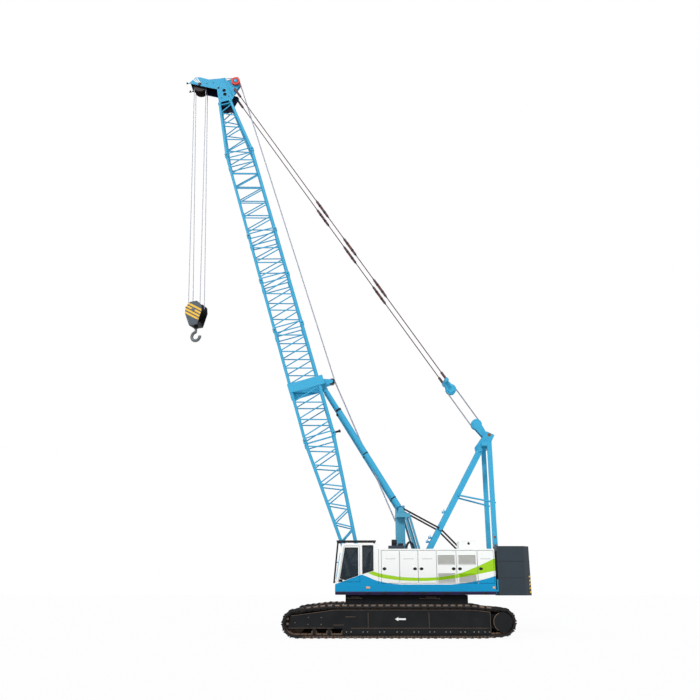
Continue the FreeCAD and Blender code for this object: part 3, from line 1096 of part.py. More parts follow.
# ================================================================ backstop struts
strut_top_x, strut_top_z = boom_place(STRUT_TOP_T, STRUT_TOP_S)
strut_length = math.hypot(strut_top_x - STRUT_FOOT_X, strut_top_z - STRUT_FOOT_Z)
strut_angle = math.degrees(math.atan2(strut_top_z - STRUT_FOOT_Z, strut_top_x - STRUT_FOOT_X))
eye_y0 = STRUT_Y - strut_eye_half
eye_y1 = STRUT_Y + strut_eye_half
tube_start = PORTAL_EYE_R + 60
strut_axis = Vec(0, STRUT_Y, 0)
strut_tube = fuse([
    rod(strut_axis + Vec(0, 0, tube_start), strut_axis + Vec(0, 0, STRUT_TUBE_END), STRUT_R),
    pin(0, 0, STRUT_EYE_R, eye_y0, eye_y1),
    box(-60, 60, eye_y0, eye_y1, 0, tube_start + 20),
])
strut_tube = strut_tube.cut(rod(strut_axis + Vec(0, 0, tube_start + 60),
                                strut_axis + Vec(0, 0, STRUT_TUBE_END + 1), STRUT_BORE_R))
strut_tube = strut_tube.cut(pin(0, 0, STRUT_PIN_R + RUN_GAP, eye_y0 - 1, eye_y1 + 1))
gland_end = strut_axis + Vec(0, 0, STRUT_TUBE_END)
strut_gland = rod(gland_end - Vec(0, 0, STRUT_GLAND), gland_end, STRUT_R)
strut_gland = strut_gland.cut(rod(strut_axis, gland_end + Vec(0, 0, 1), STRUT_ROD_R + RUN_GAP))
strut_tube = strut_tube.fuse(strut_gland).removeSplitter()
strut_rod = fuse([
    rod(strut_axis + Vec(0, 0, STRUT_ROD_START), strut_axis + Vec(0, 0, strut_length - STRUT_EYE_R),
        STRUT_ROD_R),
    pin(0, strut_length, STRUT_EYE_R, eye_y0, eye_y1),
    box(-60, 60, eye_y0, eye_y1, strut_length - STRUT_EYE_R - 30, strut_length),
])


def on_strut(shape):
    return leaned(shape, strut_angle, STRUT_FOOT_X, STRUT_FOOT_Z)


save("strut_tubes", [on_strut(solid) for solid in both_sides(strut_tube)])
save("strut_rods", [on_strut(solid) for solid in both_sides(strut_rod)])

# ================================================================ stays
stay_top_x, stay_top_z = boom_place(STAY_TOP_T, stay_s)
stay_length = math.hypot(stay_top_x - MAST_TOP_X, stay_top_z - MAST_TOP_Z)
stay_angle = math.degrees(math.atan2(stay_top_z - MAST_TOP_Z, stay_top_x - MAST_TOP_X))
bridle_plate = 30.0
bridle_shaft_r = 45.0
bridle_y0 = (BRIDLE_SHEAVES * (BRIDLE_SHEAVE_WIDTH + SIDE_GAP) + SIDE_GAP) / 2
sheave_ys = [(i - (BRIDLE_SHEAVES - 1) / 2) * (BRIDLE_SHEAVE_WIDTH + SIDE_GAP) for i in range(BRIDLE_SHEAVES)]
bridle_groove_r = BRIDLE_SHEAVE_R - 35.0


def on_stay(shape):
    return leaned(shape, stay_angle, MAST_TOP_X, MAST_TOP_Z)


def bridle_sheaves(s):
    return [sheave(0, s, BRIDLE_SHEAVE_R, bridle_groove_r, BRIDLE_ROPE_R + 3, BRIDLE_SHEAVE_WIDTH, y,
                   bridle_shaft_r + RUN_GAP) for y in sheave_ys]


inner_cheek = fuse([
    plate([(-110, 0), (-170, INNER_SHEAVE_S - 100), (-110, INNER_SHEAVE_S + 150), (110, INNER_SHEAVE_S + 150),
           (170, INNER_SHEAVE_S - 100), (110, 0)], bridle_y0, bridle_y0 + bridle_plate),
    pin(0, 0, 110, bridle_y0, bridle_y0 + bridle_plate),
])
inner_cheek = inner_cheek.cut(pin(0, 0, GANTRY_SHAFT_R + RUN_GAP, bridle_y0 - 1,
                                  bridle_y0 + bridle_plate + 1))
inner_bridle = fuse([
    inner_cheek, mirrored(inner_cheek),
    pin(0, INNER_SHEAVE_S, bridle_shaft_r, -bridle_y0, bridle_y0),
    box(-60, 60, -bridle_y0, bridle_y0, 180, 260),
])
save("inner_bridle", [on_stay(solid) for solid in [inner_bridle] + bridle_sheaves(INNER_SHEAVE_S)])

outer_cheek = plate([(-110, OUTER_SHEAVE_S - 150), (-170, OUTER_SHEAVE_S + 60), (-90, OUTER_END_S - 120),
                     (90, OUTER_END_S - 120), (170, OUTER_SHEAVE_S + 60), (110, OUTER_SHEAVE_S - 150)],
                    bridle_y0, bridle_y0 + bridle_plate)
yoke_half_y = STAY_Y + STAY_PLATE / 2 + SIDE_GAP + bridle_plate
yoke_z0 = OUTER_END_S - 260
outer_bridle = fuse([
    outer_cheek, mirrored(outer_cheek),
    pin(0, OUTER_SHEAVE_S, bridle_shaft_r, -bridle_y0, bridle_y0),
    box(-75, 75, -yoke_half_y, yoke_half_y, yoke_z0, yoke_z0 + 140),
])
save("outer_bridle", [on_stay(solid) for solid in [outer_bridle] + bridle_sheaves(OUTER_SHEAVE_S)])

bridle_ropes = []
rope_offset = bridle_groove_r + BRIDLE_ROPE_R + RUN_GAP
for y in sheave_ys:
    for x in (-rope_offset, rope_offset):
        bridle_ropes.append(rod(Vec(x, y, INNER_SHEAVE_S), Vec(x, y, OUTER_SHEAVE_S), BRIDLE_ROPE_R))
save("bridle_ropes", [on_stay(solid) for solid in bridle_ropes])


def socketed(parts, s0, s1):
    """A rope run that ends in a socket at both ends."""
    axis = Vec(0, STAY_Y, 0)
    parts.append(rod(axis + Vec(0, 0, s0), axis + Vec(0, 0, s1), PENDANT_R))
    parts.append(rod(axis + Vec(0, 0, s0), axis + Vec(0, 0, s0 + SOCKET_LENGTH), SOCKET_R))
    parts.append(rod(axis + Vec(0, 0, s1 - SOCKET_LENGTH), axis + Vec(0, 0, s1), SOCKET_R))


pendant_start = yoke_z0 + 140
stay_y0 = STAY_Y - STAY_PLATE / 2
stay_y1 = STAY_Y + STAY_PLATE / 2
pendant_parts = []
run_start = pendant_start
for joint in PENDANT_JOINTS:
    socketed(pendant_parts, run_start, joint - LINK_LENGTH / 2)
    pendant_parts.append(box(-STAY_LINK_DEPTH / 2, STAY_LINK_DEPTH / 2, stay_y0, stay_y1,
                             joint - LINK_LENGTH / 2 - 40, joint + LINK_LENGTH / 2 + 40))
    run_start = joint + LINK_LENGTH / 2
socketed(pendant_parts, run_start, stay_length - 200)
pendant_parts.append(pin(0, stay_length, STAY_EYE_R - 15, stay_y0, stay_y1))
pendant_parts.append(box(-50, 50, stay_y0, stay_y1, stay_length - 240, stay_length))
pendant = fuse(pendant_parts)
save("pendants", [on_stay(solid) for solid in both_sides(pendant)])

# ================================================================ falls and hook block
falls_x, falls_z = boom_place(HEAD_SHEAVE_T, sheave_s)


def on_falls(shape):
    """Shapes built below the origin, hung from the head sheave's shaft."""
    copy = shape.copy()
    copy.rotate(Vec(0, 0, 0), Vec(0, 1, 0), FALLS_LEAN)
    copy.translate(Vec(falls_x, 0, falls_z))
    return copy


def in_block(shape):
    """Shapes built round the block's own sheave shaft."""
    copy = shape.copy()
    copy.rotate(Vec(0, 0, 0), Vec(0, 0, 1), BLOCK_TWIST)
    copy.translate(Vec(0, 0, -FALLS_LENGTH))
    return on_falls(copy)


twist = math.radians(BLOCK_TWIST)
falls = []
for x in (-SHEAVE_PITCH_R, SHEAVE_PITCH_R):
    for y in (-SHEAVE_Y, SHEAVE_Y):
        low = Vec(x * math.cos(twist) - y * math.sin(twist), x * math.sin(twist) + y * math.cos(twist),
                  -FALLS_LENGTH)
        falls.append(on_falls(rod(Vec(x, y, 0), low, ROPE_R)))
save("hoist_falls", falls)

block_outline = [(-0.42, 1.0), (0.42, 1.0), (0.95, 0.45), (1.0, -0.14), (0.47, -1.0), (-0.47, -1.0),
                 (-1.0, -0.14), (-0.95, 0.45)]
cheek_y0 = SHEAVE_Y + SHEAVE_WIDTH / 2 + SIDE_GAP
corners = [(u * BLOCK_HALF, w * (BLOCK_TOP if w > 0 else BLOCK_BOTTOM)) for u, w in block_outline]
cheek = plate(corners, cheek_y0, cheek_y0 + CHEEK_WEIGHT)
block = fuse([
    cheek, mirrored(cheek),
    pin(0, 0, BLOCK_SHAFT_R, -cheek_y0, cheek_y0),
    box(-200, 200, -cheek_y0, cheek_y0, -BLOCK_BOTTOM, -BLOCK_BOTTOM + 160),
])
save("hook_block", [in_block(block)])
block_sheaves = [sheave(0, 0, SHEAVE_RIM_R, groove_r, groove_half, SHEAVE_WIDTH, y, BLOCK_SHAFT_R + RUN_GAP)
                 for y in (-SHEAVE_Y, SHEAVE_Y)]
save("block_sheaves", [in_block(wheel) for wheel in block_sheaves])

hook_eye = Vec(0, 0, -HOOK_CENTRE_DROP)
bend = Part.makeTorus(HOOK_BEND_R, HOOK_SECTION_R, hook_eye, Vec(0, 1, 0), -180, 180, 270)
bend.rotate(hook_eye, Vec(0, 1, 0), 90)
shank = rod(Vec(0, 0, -BLOCK_BOTTOM), Vec(0, 0, -HOOK_CENTRE_DROP + HOOK_BEND_R), HOOK_SHANK_R)
hook = fuse([shank, bend])
hook.rotate(Vec(0, 0, 0), Vec(0, 0, 1), 180)
save("hook", [in_block(hook)])
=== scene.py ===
import json
from math import acos, atan2, copysign, cos, hypot, pi, radians, sin, tan, tau
import bmesh
import bpy
from mathutils import Matrix, Vector


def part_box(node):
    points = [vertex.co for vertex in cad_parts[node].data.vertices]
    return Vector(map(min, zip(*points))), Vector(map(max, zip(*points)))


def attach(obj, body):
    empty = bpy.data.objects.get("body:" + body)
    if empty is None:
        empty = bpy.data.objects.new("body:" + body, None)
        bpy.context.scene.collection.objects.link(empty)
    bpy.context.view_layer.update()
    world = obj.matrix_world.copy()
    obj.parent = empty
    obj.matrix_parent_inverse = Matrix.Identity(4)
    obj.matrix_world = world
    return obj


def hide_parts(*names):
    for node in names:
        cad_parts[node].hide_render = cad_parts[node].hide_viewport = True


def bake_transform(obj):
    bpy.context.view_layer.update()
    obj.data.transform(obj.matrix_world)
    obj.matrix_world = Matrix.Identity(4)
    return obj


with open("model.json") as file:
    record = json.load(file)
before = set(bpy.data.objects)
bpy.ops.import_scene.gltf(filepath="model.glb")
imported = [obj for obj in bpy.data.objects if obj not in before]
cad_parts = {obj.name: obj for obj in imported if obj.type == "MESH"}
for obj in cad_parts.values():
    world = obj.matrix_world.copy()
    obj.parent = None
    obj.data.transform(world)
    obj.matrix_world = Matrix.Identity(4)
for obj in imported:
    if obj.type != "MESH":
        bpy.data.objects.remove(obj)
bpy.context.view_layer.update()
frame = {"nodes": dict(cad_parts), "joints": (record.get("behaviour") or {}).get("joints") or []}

# ---------------- yard, light and camera
# The machine stands on a pale concrete yard under an even sky, with a soft sun
# from high on its left front. The yard is only a stage, and whitens to the sky.
scene = bpy.context.scene
scene.view_settings.view_transform = "Standard"
CAMERA_RISE = radians(17.9)
YARD_HALF, YARD_DROP = 150.0, 0.002
YARD_GLOW = 0.94

camera = bpy.data.objects.new("camera", bpy.data.cameras.new("camera"))
camera.data.sensor_width = 36.0
camera.data.lens = 37.8
camera.location = (1.69, 30.93, 1.706)
camera.rotation_euler = (radians(90) + CAMERA_RISE, 0, radians(180))
scene.collection.objects.link(camera)
scene.camera = camera


def sign(operation):
    """What a sign between two signals, or a signal and a number, does: it adds one Math node."""
    return lambda signal, other=None: signal.reckon(operation, other)


class Signal:
    """One output of a shader node, to be reckoned with by signs."""

    def __init__(self, holder, output=0):
        self.holder, self.output = holder, output

    def __getitem__(self, output):
        return Signal(self.holder, output)

    def reckon(self, operation, other=None, clamp=False):
        return node(self.holder.id_data, "Math", {0: self, 1: other}, operation=operation, use_clamp=clamp)

    __add__, __sub__, __mul__, __truediv__ = sign("ADD"), sign("SUBTRACT"), sign("MULTIPLY"), sign("DIVIDE")
    __lt__, __gt__, __abs__ = sign("LESS_THAN"), sign("GREATER_THAN"), sign("ABSOLUTE")


def feed(holder, sockets):
    """Sets a node's inputs to values, or links them to signals."""
    for socket, given in sockets.items():
        if isinstance(given, Signal):
            holder.id_data.links.new(given.holder.outputs[given.output], holder.inputs[socket])
        elif given is not None:
            holder.inputs[socket].default_value = given


def node(tree, kind, sockets=None, **settings):
    """A new shader node with its properties set and its inputs fed, as the signal of its first output."""
    holder = tree.nodes.new("ShaderNode" + kind)
    for key, value in settings.items():
        setattr(holder, key, value)
    feed(holder, sockets or {})
    return Signal(holder)


def seen_rays(tree):
    """One on the rays that reach the eye, straight or by way of a polished face or a pane."""
    ray = node(tree, "LightPath")
    bent = ray["Is Glossy Ray"].reckon("MAXIMUM", ray["Is Transmission Ray"])
    return ray["Is Camera Ray"].reckon("MAXIMUM", bent)


sky = bpy.data.worlds.new("even_sky")
sky.use_nodes = True
scene.world = sky
tree = sky.node_tree
tree.nodes.clear()
seen_sky = node(tree, "Background", {"Color": (1, 1, 1, 1), "Strength": 1.0})
lit_sky = node(tree, "Background", {"Color": (0.86, 0.93, 1.0, 1), "Strength": 0.62})
node(tree, "OutputWorld",
     {0: node(tree, "MixShader", {0: seen_rays(tree), 1: lit_sky, 2: seen_sky})})

for name, towards, power, spread in (("sun", (0.35, 0.75, 0.62), 1.9, 12.0), ("bounce", (-0.7, 0.6, 0.12), 0.5, 60.0)):
    lamp = bpy.data.lights.new(name, "SUN")
    lamp.energy = power
    lamp.angle = radians(spread)
    holder = bpy.data.objects.new(name, lamp)
    holder.rotation_euler = Vector(towards).to_track_quat("Z", "Y").to_euler()
    scene.collection.objects.link(holder)

yard_mesh = bpy.data.meshes.new("yard")
bm = bmesh.new()
bmesh.ops.create_grid(bm, x_segments=1, y_segments=1, size=YARD_HALF)
bm.to_mesh(yard_mesh)
bm.free()
yard = bpy.data.objects.new("yard", yard_mesh)
yard.location = (0, 0, -YARD_DROP)
scene.collection.objects.link(yard)
concrete = bpy.data.materials.new("pale_concrete")
concrete.use_nodes = True
tree = concrete.node_tree
tree.nodes.clear()
matte = node(tree, "BsdfDiffuse", {"Color": (0.82, 0.82, 0.80, 1)})
glow = node(tree, "Emission", {"Strength": 1.0})
node(tree, "OutputMaterial",
     {0: node(tree, "MixShader", {0: seen_rays(tree) * YARD_GLOW, 1: matte, 2: glow})})
yard_mesh.materials.append(concrete)

# ---------------- crawler tracks
# Cast steel shoes with two low bars each, pinned to forged links. They are black
# oxide under clay dust, rust-brown where clay dries and bright only on the bars.


def new_group(name, inputs, outputs=(("Color", "NodeSocketColor"),)):
    """An empty shader group with named inputs (name, type, start value) and named outputs."""
    tree = bpy.data.node_groups.new(name, "ShaderNodeTree")
    for label, kind, value in inputs:
        tree.interface.new_socket(name=label, in_out="INPUT", socket_type=kind).default_value = value
    for label, kind in outputs:
        tree.interface.new_socket(name=label, in_out="OUTPUT", socket_type=kind)
    return tree, Signal(tree.nodes.new("NodeGroupInput")), tree.nodes.new("NodeGroupOutput")


def tinted(tree, share, a, b):
    """Colour a mixed with colour b by share; each is a signal or a colour."""
    return node(tree, "Mix", {0: share, 6: a, 7: b}, data_type="RGBA")[2]


# Weather on any finish: cloudy tone, clay dust that thickens towards the ground, and rain streaks.
weather, took, gave = new_group(
    "weather",
    [("Color", "NodeSocketColor", (0.5, 0.5, 0.5, 1)), ("Dirt Color", "NodeSocketColor", (0.21, 0.14, 0.09, 1)),
     ("Roughness", "NodeSocketFloat", 0.4), ("Dirt", "NodeSocketFloat", 0.3), ("Tone", "NodeSocketFloat", 0.08),
     ("Ground Dirt", "NodeSocketFloat", 0.5), ("Size", "NodeSocketFloat", 1.0)],
    [("Color", "NodeSocketColor"), ("Roughness", "NodeSocketFloat"), ("Height", "NodeSocketFloat")])
place = node(weather, "TexCoord")["Object"]
scaled = node(weather, "VectorMath", {0: place, "Scale": took["Size"]}, operation="SCALE")
cloud = node(weather, "TexNoise", {"Vector": scaled, "Scale": 1.7, "Detail": 5.0, "Roughness": 0.62})
grain = node(weather, "TexNoise", {"Vector": scaled, "Scale": 26.0, "Detail": 6.0, "Roughness": 0.7})
drawn_out = node(weather, "Mapping", {"Vector": scaled, "Scale": (9.0, 9.0, 0.7)})
streak = node(weather, "TexNoise", {"Vector": drawn_out, "Scale": 1.0, "Detail": 4.0, "Roughness": 0.6})
height = node(weather, "SeparateXYZ", {0: place})["Z"]
near_ground = node(weather, "MapRange",
                   {"Value": height, "From Min": 0.0, "From Max": 1.7, "To Min": 1.0, "To Max": 0.0})
cover = near_ground * took["Ground Dirt"] + took["Dirt"]
mottle = cloud * 0.55 + grain * 0.45 + (streak - 0.5) * 0.3
bite = mottle + cover * 0.5 - 0.62
dirt = bite.reckon("MULTIPLY", 5.0, clamp=True).reckon("MULTIPLY", cover, clamp=True)
shade = (cloud - 0.5) * took["Tone"]
toned = node(weather, "HueSaturation", {"Color": took["Color"], "Value": shade * 3.0 + 1.0})
rough = took["Roughness"].reckon("ADD", dirt * 0.45, clamp=True).reckon("ADD", (grain - 0.5) * 0.12, clamp=True)
feed(gave, {"Color": tinted(weather, dirt, toned, took["Dirt Color"]), "Roughness": rough,
            "Height": grain * 0.35 + dirt})


def finish(name, color, roughness=0.4, metallic=0.0, coat=0.0, dirt=0.12, ground=0.4, tone=0.06, size=1.0,
           bump=0.15, dirt_color=(0.23, 0.15, 0.10), bump_size=0.002, specular=0.22, over=None):
    """A weathered material; a group given as over lays its own colours on the base colour first."""
    made = bpy.data.materials.new(name)
    made.use_nodes = True
    tree = made.node_tree
    color = (*color, 1)
    if over:
        color = node(tree, "Group", {"Base": color}, node_tree=over)
    worn = node(tree, "Group", {
        "Color": color, "Dirt Color": (*dirt_color, 1), "Roughness": roughness, "Dirt": dirt,
        "Ground Dirt": ground, "Tone": tone, "Size": size}, node_tree=weather)
    swell = node(tree, "Bump", {"Strength": bump, "Distance": bump_size, "Height": worn["Height"]})
    shader = tree.nodes["Principled BSDF"]
    feed(shader, {"Base Color": worn["Color"], "Roughness": worn["Roughness"], "Normal": swell,
                  "Metallic": metallic, "Specular IOR Level": specular})
    if coat:
        feed(shader, {"Coat Weight": coat, "Coat Roughness": 0.12})
    return made


def dress(material, *names):
    """Gives CAD nodes a material in place of their plain one."""
    for name in names:
        for holder in frame["nodes"][name].material_slots:
            holder.material = material


def settle(name, bm, material, body, smooth=30.0):
    """Closes a bmesh into a finished piece at the origin that rides on a body, if one is given."""
    bmesh.ops.recalc_face_normals(bm, faces=bm.faces)
    mesh = bpy.data.meshes.new(name)
    bm.to_mesh(mesh)
    bm.free()
    if smooth:
        mesh.shade_smooth()
        mesh.set_sharp_from_angle(angle=radians(smooth))
    mesh.materials.append(material)
    made = bpy.data.objects.new(name, mesh)
    scene.collection.objects.link(made)
    if body:
        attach(made, body)
    return made


def swung(degrees, axis="Y"):
    """A turn about one of the machine's axes."""
    return Matrix.Rotation(radians(degrees), 3, axis)


def rounded(bm, verts, edges, bevel, segments):
    """Rounds edges of a solid; gives all the solid's vertices after that."""
    faces = bmesh.ops.bevel(bm, geom=edges, offset=bevel, offset_type="OFFSET", segments=segments, profile=0.5,
                            affect="EDGES", material=-1, clamp_overlap=True)["faces"]
    return list({vert for face in faces for vert in face.verts} | {vert for vert in verts if vert.is_valid})


def block(bm, centre, size, bevel=0.0, turn=None, segments=2):
    """A box with rounded edges, turned by a matrix and set at its centre."""
    made = bmesh.ops.create_cube(bm, size=1.0)["verts"]
    bmesh.ops.scale(bm, vec=size, verts=made)
    if bevel:
        made = rounded(bm, made, list({edge for vert in made for edge in vert.link_edges}), bevel, segments)
    if turn is not None:
        bmesh.ops.transform(bm, matrix=turn.to_4x4(), verts=made)
    bmesh.ops.translate(bm, vec=centre, verts=made)


def barrel(bm, start, end, radius, segments=16, tip=None, bevel=0.0):
    """A closed round bar between two points, tapered if a tip radius is given."""
    start, end = Vector(start), Vector(end)
    along = end - start
    made = bmesh.ops.create_cone(bm, cap_ends=True, segments=segments, radius1=radius,
                                 radius2=radius if tip is None else tip, depth=along.length)["verts"]
    if bevel:
        rims = [edge for edge in {edge for vert in made for edge in vert.link_edges}
                if any(len(face.verts) > 4 for face in edge.link_faces)]
        made = rounded(bm, made, rims, bevel, 2)
    turn = along.to_track_quat("Z", "Y").to_matrix().to_4x4()
    bmesh.ops.transform(bm, matrix=Matrix.Translation((start + end) / 2) @ turn, verts=made)
    return made


def nut(bm, centre, axis, radius, height):
    """A hexagon bolt head on a thin washer."""
    centre, top = Vector(centre), Vector(axis).normalized() * height
    barrel(bm, centre, centre + top * 0.2, radius * 1.35, segments=12)
    barrel(bm, centre + top * 0.2, centre + top, radius, segments=6)


# Dry clay lies on the middle of each shoe's outer part along the straight runs, clear of the links.
SHOE_PITCH, SLIT_X = 0.2555, 2.0748
UPPER_RUN_Z, LOWER_RUN_Z = 1.072, 0.085
STRAIGHT_HALF, CLAY_HALF, RUN_FALL = 2.5, 3.35, 0.10
PATCH_SHARE, BAR_SHARE, LOWER_CLAY = 0.31, 0.36, 0.55
clay, took, gave = new_group("shoe_clay", [("Base", "NodeSocketColor", (0.01, 0.01, 0.01, 1))])
place = node(clay, "TexCoord")["Object"]
parts = node(clay, "SeparateXYZ", {0: place})
speck = node(clay, "TexNoise", {"Vector": place, "Scale": 14.0, "Detail": 4.0})
along_shoe = ((parts["X"] + (SLIT_X + 100 * SHOE_PITCH)) / SHOE_PITCH).reckon("FRACT")
middle = abs(along_shoe - 0.5) < PATCH_SHARE
reach = abs(parts["X"])
fall = (reach - STRAIGHT_HALF).reckon("MAXIMUM", 0.0) * RUN_FALL
upper = parts["Z"] + fall > UPPER_RUN_Z
lower = parts["Z"] < LOWER_RUN_Z
bars = abs((along_shoe * 2.0).reckon("FRACT") - 0.5) < BAR_SHARE
patch = (upper * middle).reckon("MAXIMUM", lower * bars * LOWER_CLAY) * (reach < CLAY_HALF)
patch = patch.reckon("MULTIPLY", speck * 0.8 + 0.35, clamp=True)
feed(gave, {"Color": tinted(clay, patch, took["Base"], (0.215, 0.140, 0.098, 1))})

track_steel = finish("track_steel", (0.012, 0.012, 0.013), roughness=0.66, metallic=0.2, dirt=0.08, ground=0.24,
                     tone=0.5, size=1.6, bump=0.5, bump_size=0.006, dirt_color=(0.110, 0.066, 0.044), over=clay)
dress(track_steel, "track_left", "track_right")
rail_steel = finish("rail_steel", (0.020, 0.019, 0.018), roughness=0.5, metallic=0.4, dirt=0.20, ground=0.3, tone=0.4,
                    size=3.0, bump=0.4, dirt_color=(0.15, 0.085, 0.050))
dress(rail_steel, "idlers")
roller_steel = finish("roller_steel", (0.190, 0.122, 0.082), roughness=0.6, dirt=0.2, tone=0.5, size=4.0, bump=0.4,
                      dirt_color=(0.05, 0.03, 0.02))
dress(roller_steel, "track_rollers")

# Forged side bars of the chain stand inside each loop, one to a shoe, beside the rollers.
TRACK_MID_Y = 3.005
IDLER, DRIVE, LOOP_R = (3.620, 0.500), (-3.680, 0.545), 0.395
LOOP_LOW_Z, LOOP_TOP_Z = 0.105, 1.022
BAR_INSET, BAR_SPREAD, BAR_SIZE = 0.034, 0.2825, (0.235, 0.020, 0.062)


def arc_places(centre, first, last, steps=10):
    """Places on the links' inner face round an end wheel, between two angles in degrees."""
    angles = [radians(first + (last - first) * step / steps) for step in range(steps + 1)]
    return [(centre[0] + LOOP_R * cos(angle), centre[1] + LOOP_R * sin(angle)) for angle in angles]


loop = [(-2.95, LOOP_LOW_Z), *arc_places(IDLER, -90, 83.5), (2.50, LOOP_TOP_Z), (-2.50, LOOP_TOP_Z),
        *arc_places(DRIVE, 94, 266)]
loop.append(loop[0])
upper_bars, lower_bars = bmesh.new(), bmesh.new()
stretch, due = 0.0, 0.13
for (x0, z0), (x1, z1) in zip(loop, loop[1:]):
    run = Vector((x1 - x0, 0, z1 - z0))
    turn = Matrix.Rotation(-atan2(run.z, run.x), 3, "Y")
    inward = turn @ Vector((0, 0, 1))
    while due < stretch + run.length:
        place = Vector((x0, 0, z0)) + run.normalized() * (due - stretch) + inward * BAR_INSET
        for side in (1, -1):
            for step in (-BAR_SPREAD, BAR_SPREAD):
                block(lower_bars if place.z < 0.3 else upper_bars, place + Vector((0, side * TRACK_MID_Y + step, 0)),
                      BAR_SIZE, bevel=0.008, turn=turn, segments=1)
        due += SHOE_PITCH
    stretch += run.length
settle("upper_chain_bars", upper_bars, rail_steel, "undercarriage")
settle("lower_chain_bars", lower_bars, roller_steel, "undercarriage")

# ---------------- side frames
# Welded box beams of heavy plate, painted black. Bolted drive covers, plate joints and
# a row of paired lower bolts stand on the outer face, with the travel arrow painted on.
frame_black = finish("frame_black", (0.008, 0.009, 0.010), roughness=0.55, dirt=0.04, ground=0.12, tone=0.4, size=1.2,
                     bump=0.25, dirt_color=(0.10, 0.062, 0.045), specular=0.12)
frame_edge = finish("frame_edge", (0.16, 0.11, 0.085), roughness=0.7, dirt=0.3, ground=0.3, tone=0.2, size=2.0,
                    dirt_color=(0.10, 0.065, 0.045))
bolt_grey = finish("bolt_grey", (0.30, 0.29, 0.28), roughness=0.5, dirt=0.2, size=4.0)
mark_white = finish("mark_white", (0.74, 0.74, 0.71), roughness=0.5, dirt=0.10, ground=0.16, size=2.0)
dress(frame_black, "side_frame_left", "side_frame_right", "carbody", "sprockets")

PLATE_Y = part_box("side_frame_left")[1].y
drive_low, drive_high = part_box("sprockets")
DRIVE_X = drive_low.x + (drive_high.z - drive_low.z) / 2
DRIVE_Z = (drive_low.z + drive_high.z) / 2
DRIVE_RIM_R, DRIVE_RIM_ANGLES = 0.315, [radians(70 - 10 * step) for step in range(14)]
BEAD_LINES = (
    ((3.770, 0.747), (2.250, 0.943), (-2.575, 0.943), (-3.263, 0.880), (-3.263, 0.16)),
    ((3.860, 0.344), (2.267, 0.344)), ((1.664, 0.342), (-3.200, 0.342)),
    ((2.267, 0.444), (1.917, 0.444)), ((1.861, 0.716), (1.495, 0.716)),
    ((1.050, 0.352), (1.050, 0.854)), ((-1.100, 0.352), (-1.100, 0.854)))
BOLT_PAIR_XS = (1.735, 1.153, 0.567, -0.047, -0.643, -1.197, -1.759, -2.274, -2.748, -3.130)
BOLT_PAIR_Z, BOLT_PAIR_HALF = 0.216, 0.079
IDLER_STOP_X, IDLER_STOP_ZS = 3.895, (0.482, 0.654)
PLATE_BOLTS = ((3.161, 0.695), (2.705, 0.695), (3.166, 0.465), (2.711, 0.465), (3.630, 0.523))


def raised_patch(bm, corners, out):
    """A thin patch of paint or plate through given corners, raised by a vector."""
    face = bm.faces.new([bm.verts.new(corner) for corner in corners])
    raised = bmesh.ops.extrude_face_region(bm, geom=[face])["geom"]
    bmesh.ops.translate(bm, vec=out, verts=[part for part in raised if isinstance(part, bmesh.types.BMVert)])


def travel_arrow(bm, tail_x, tip_x, low_z, high_z, side):
    """A flat block arrow that points forward along the frame, laid on its outer face."""
    mid_z = (low_z + high_z) / 2
    neck_x = tip_x - (high_z - low_z) * 0.95
    shaft = (high_z - low_z) * 0.22
    outline = ((tail_x, mid_z - shaft), (neck_x, mid_z - shaft), (neck_x, low_z), (tip_x, mid_z),
               (neck_x, high_z), (neck_x, mid_z + shaft), (tail_x, mid_z + shaft))
    raised_patch(bm, [(x, side * PLATE_Y, z) for x, z in outline], (0, side * 0.003, 0))


def bolt_ring(bm, centre, axis, ring_radius, count, bolt_radius, height):
    """Evenly spaced hexagon bolts on a circle about an axis."""
    axis = Vector(axis).normalized()
    first = axis.orthogonal().normalized() * ring_radius
    for index in range(count):
        spoke = first.copy()
        spoke.rotate(Matrix.Rotation(tau * index / count, 3, axis))
        nut(bm, Vector(centre) + spoke, axis, bolt_radius, height)


def bead_line(bm, places, side):
    """A dusty weld bead along the frame's face, through places given as x and z."""
    for (x0, z0), (x1, z1) in zip(places, places[1:]):
        turn = Matrix.Rotation(-atan2(z1 - z0, x1 - x0), 3, "Y")
        block(bm, ((x0 + x1) / 2, side * (PLATE_Y + 0.002), (z0 + z1) / 2),
              (hypot(x1 - x0, z1 - z0), 0.008, 0.012), bevel=0.0025, turn=turn)


def rod(bm, places, radius, segments=16):
    """A bent rod or rope through a row of places, in straight lengths."""
    for start, end in zip(places, places[1:]):
        barrel(bm, start, end, radius, segments=segments)


arrows, bolts, beads, stops, rims = (bmesh.new() for made in range(5))
for side in (1, -1):
    travel_arrow(arrows, -0.278, 0.107, 0.575, 0.705, side)
    for x in BOLT_PAIR_XS:
        for step in (-BOLT_PAIR_HALF, BOLT_PAIR_HALF):
            nut(bolts, (x + step, side * PLATE_Y, BOLT_PAIR_Z), (0, side, 0), 0.015, 0.014)
    for x, z in PLATE_BOLTS:
        nut(stops, (x, side * PLATE_Y, z), (0, side, 0), 0.016, 0.014)
    for z in IDLER_STOP_ZS:
        block(stops, (IDLER_STOP_X, side * (PLATE_Y - 0.020), z), (0.085, 0.035, 0.075), bevel=0.012)
    for places in BEAD_LINES:
        bead_line(beads, places, side)
    rod(rims, [(DRIVE_X + DRIVE_RIM_R * cos(angle), side * drive_high.y, DRIVE_Z + DRIVE_RIM_R * sin(angle))
               for angle in DRIVE_RIM_ANGLES], 0.010, segments=8)
settle("travel_arrows", arrows, mark_white, "undercarriage", smooth=0)
settle("frame_bolts", bolts, bolt_grey, "undercarriage")
settle("frame_plate_joints", beads, frame_edge, "undercarriage")
settle("idler_stops_and_bolts", stops, frame_edge, "undercarriage")
settle("drive_cover_rims", rims, roller_steel, "undercarriage")

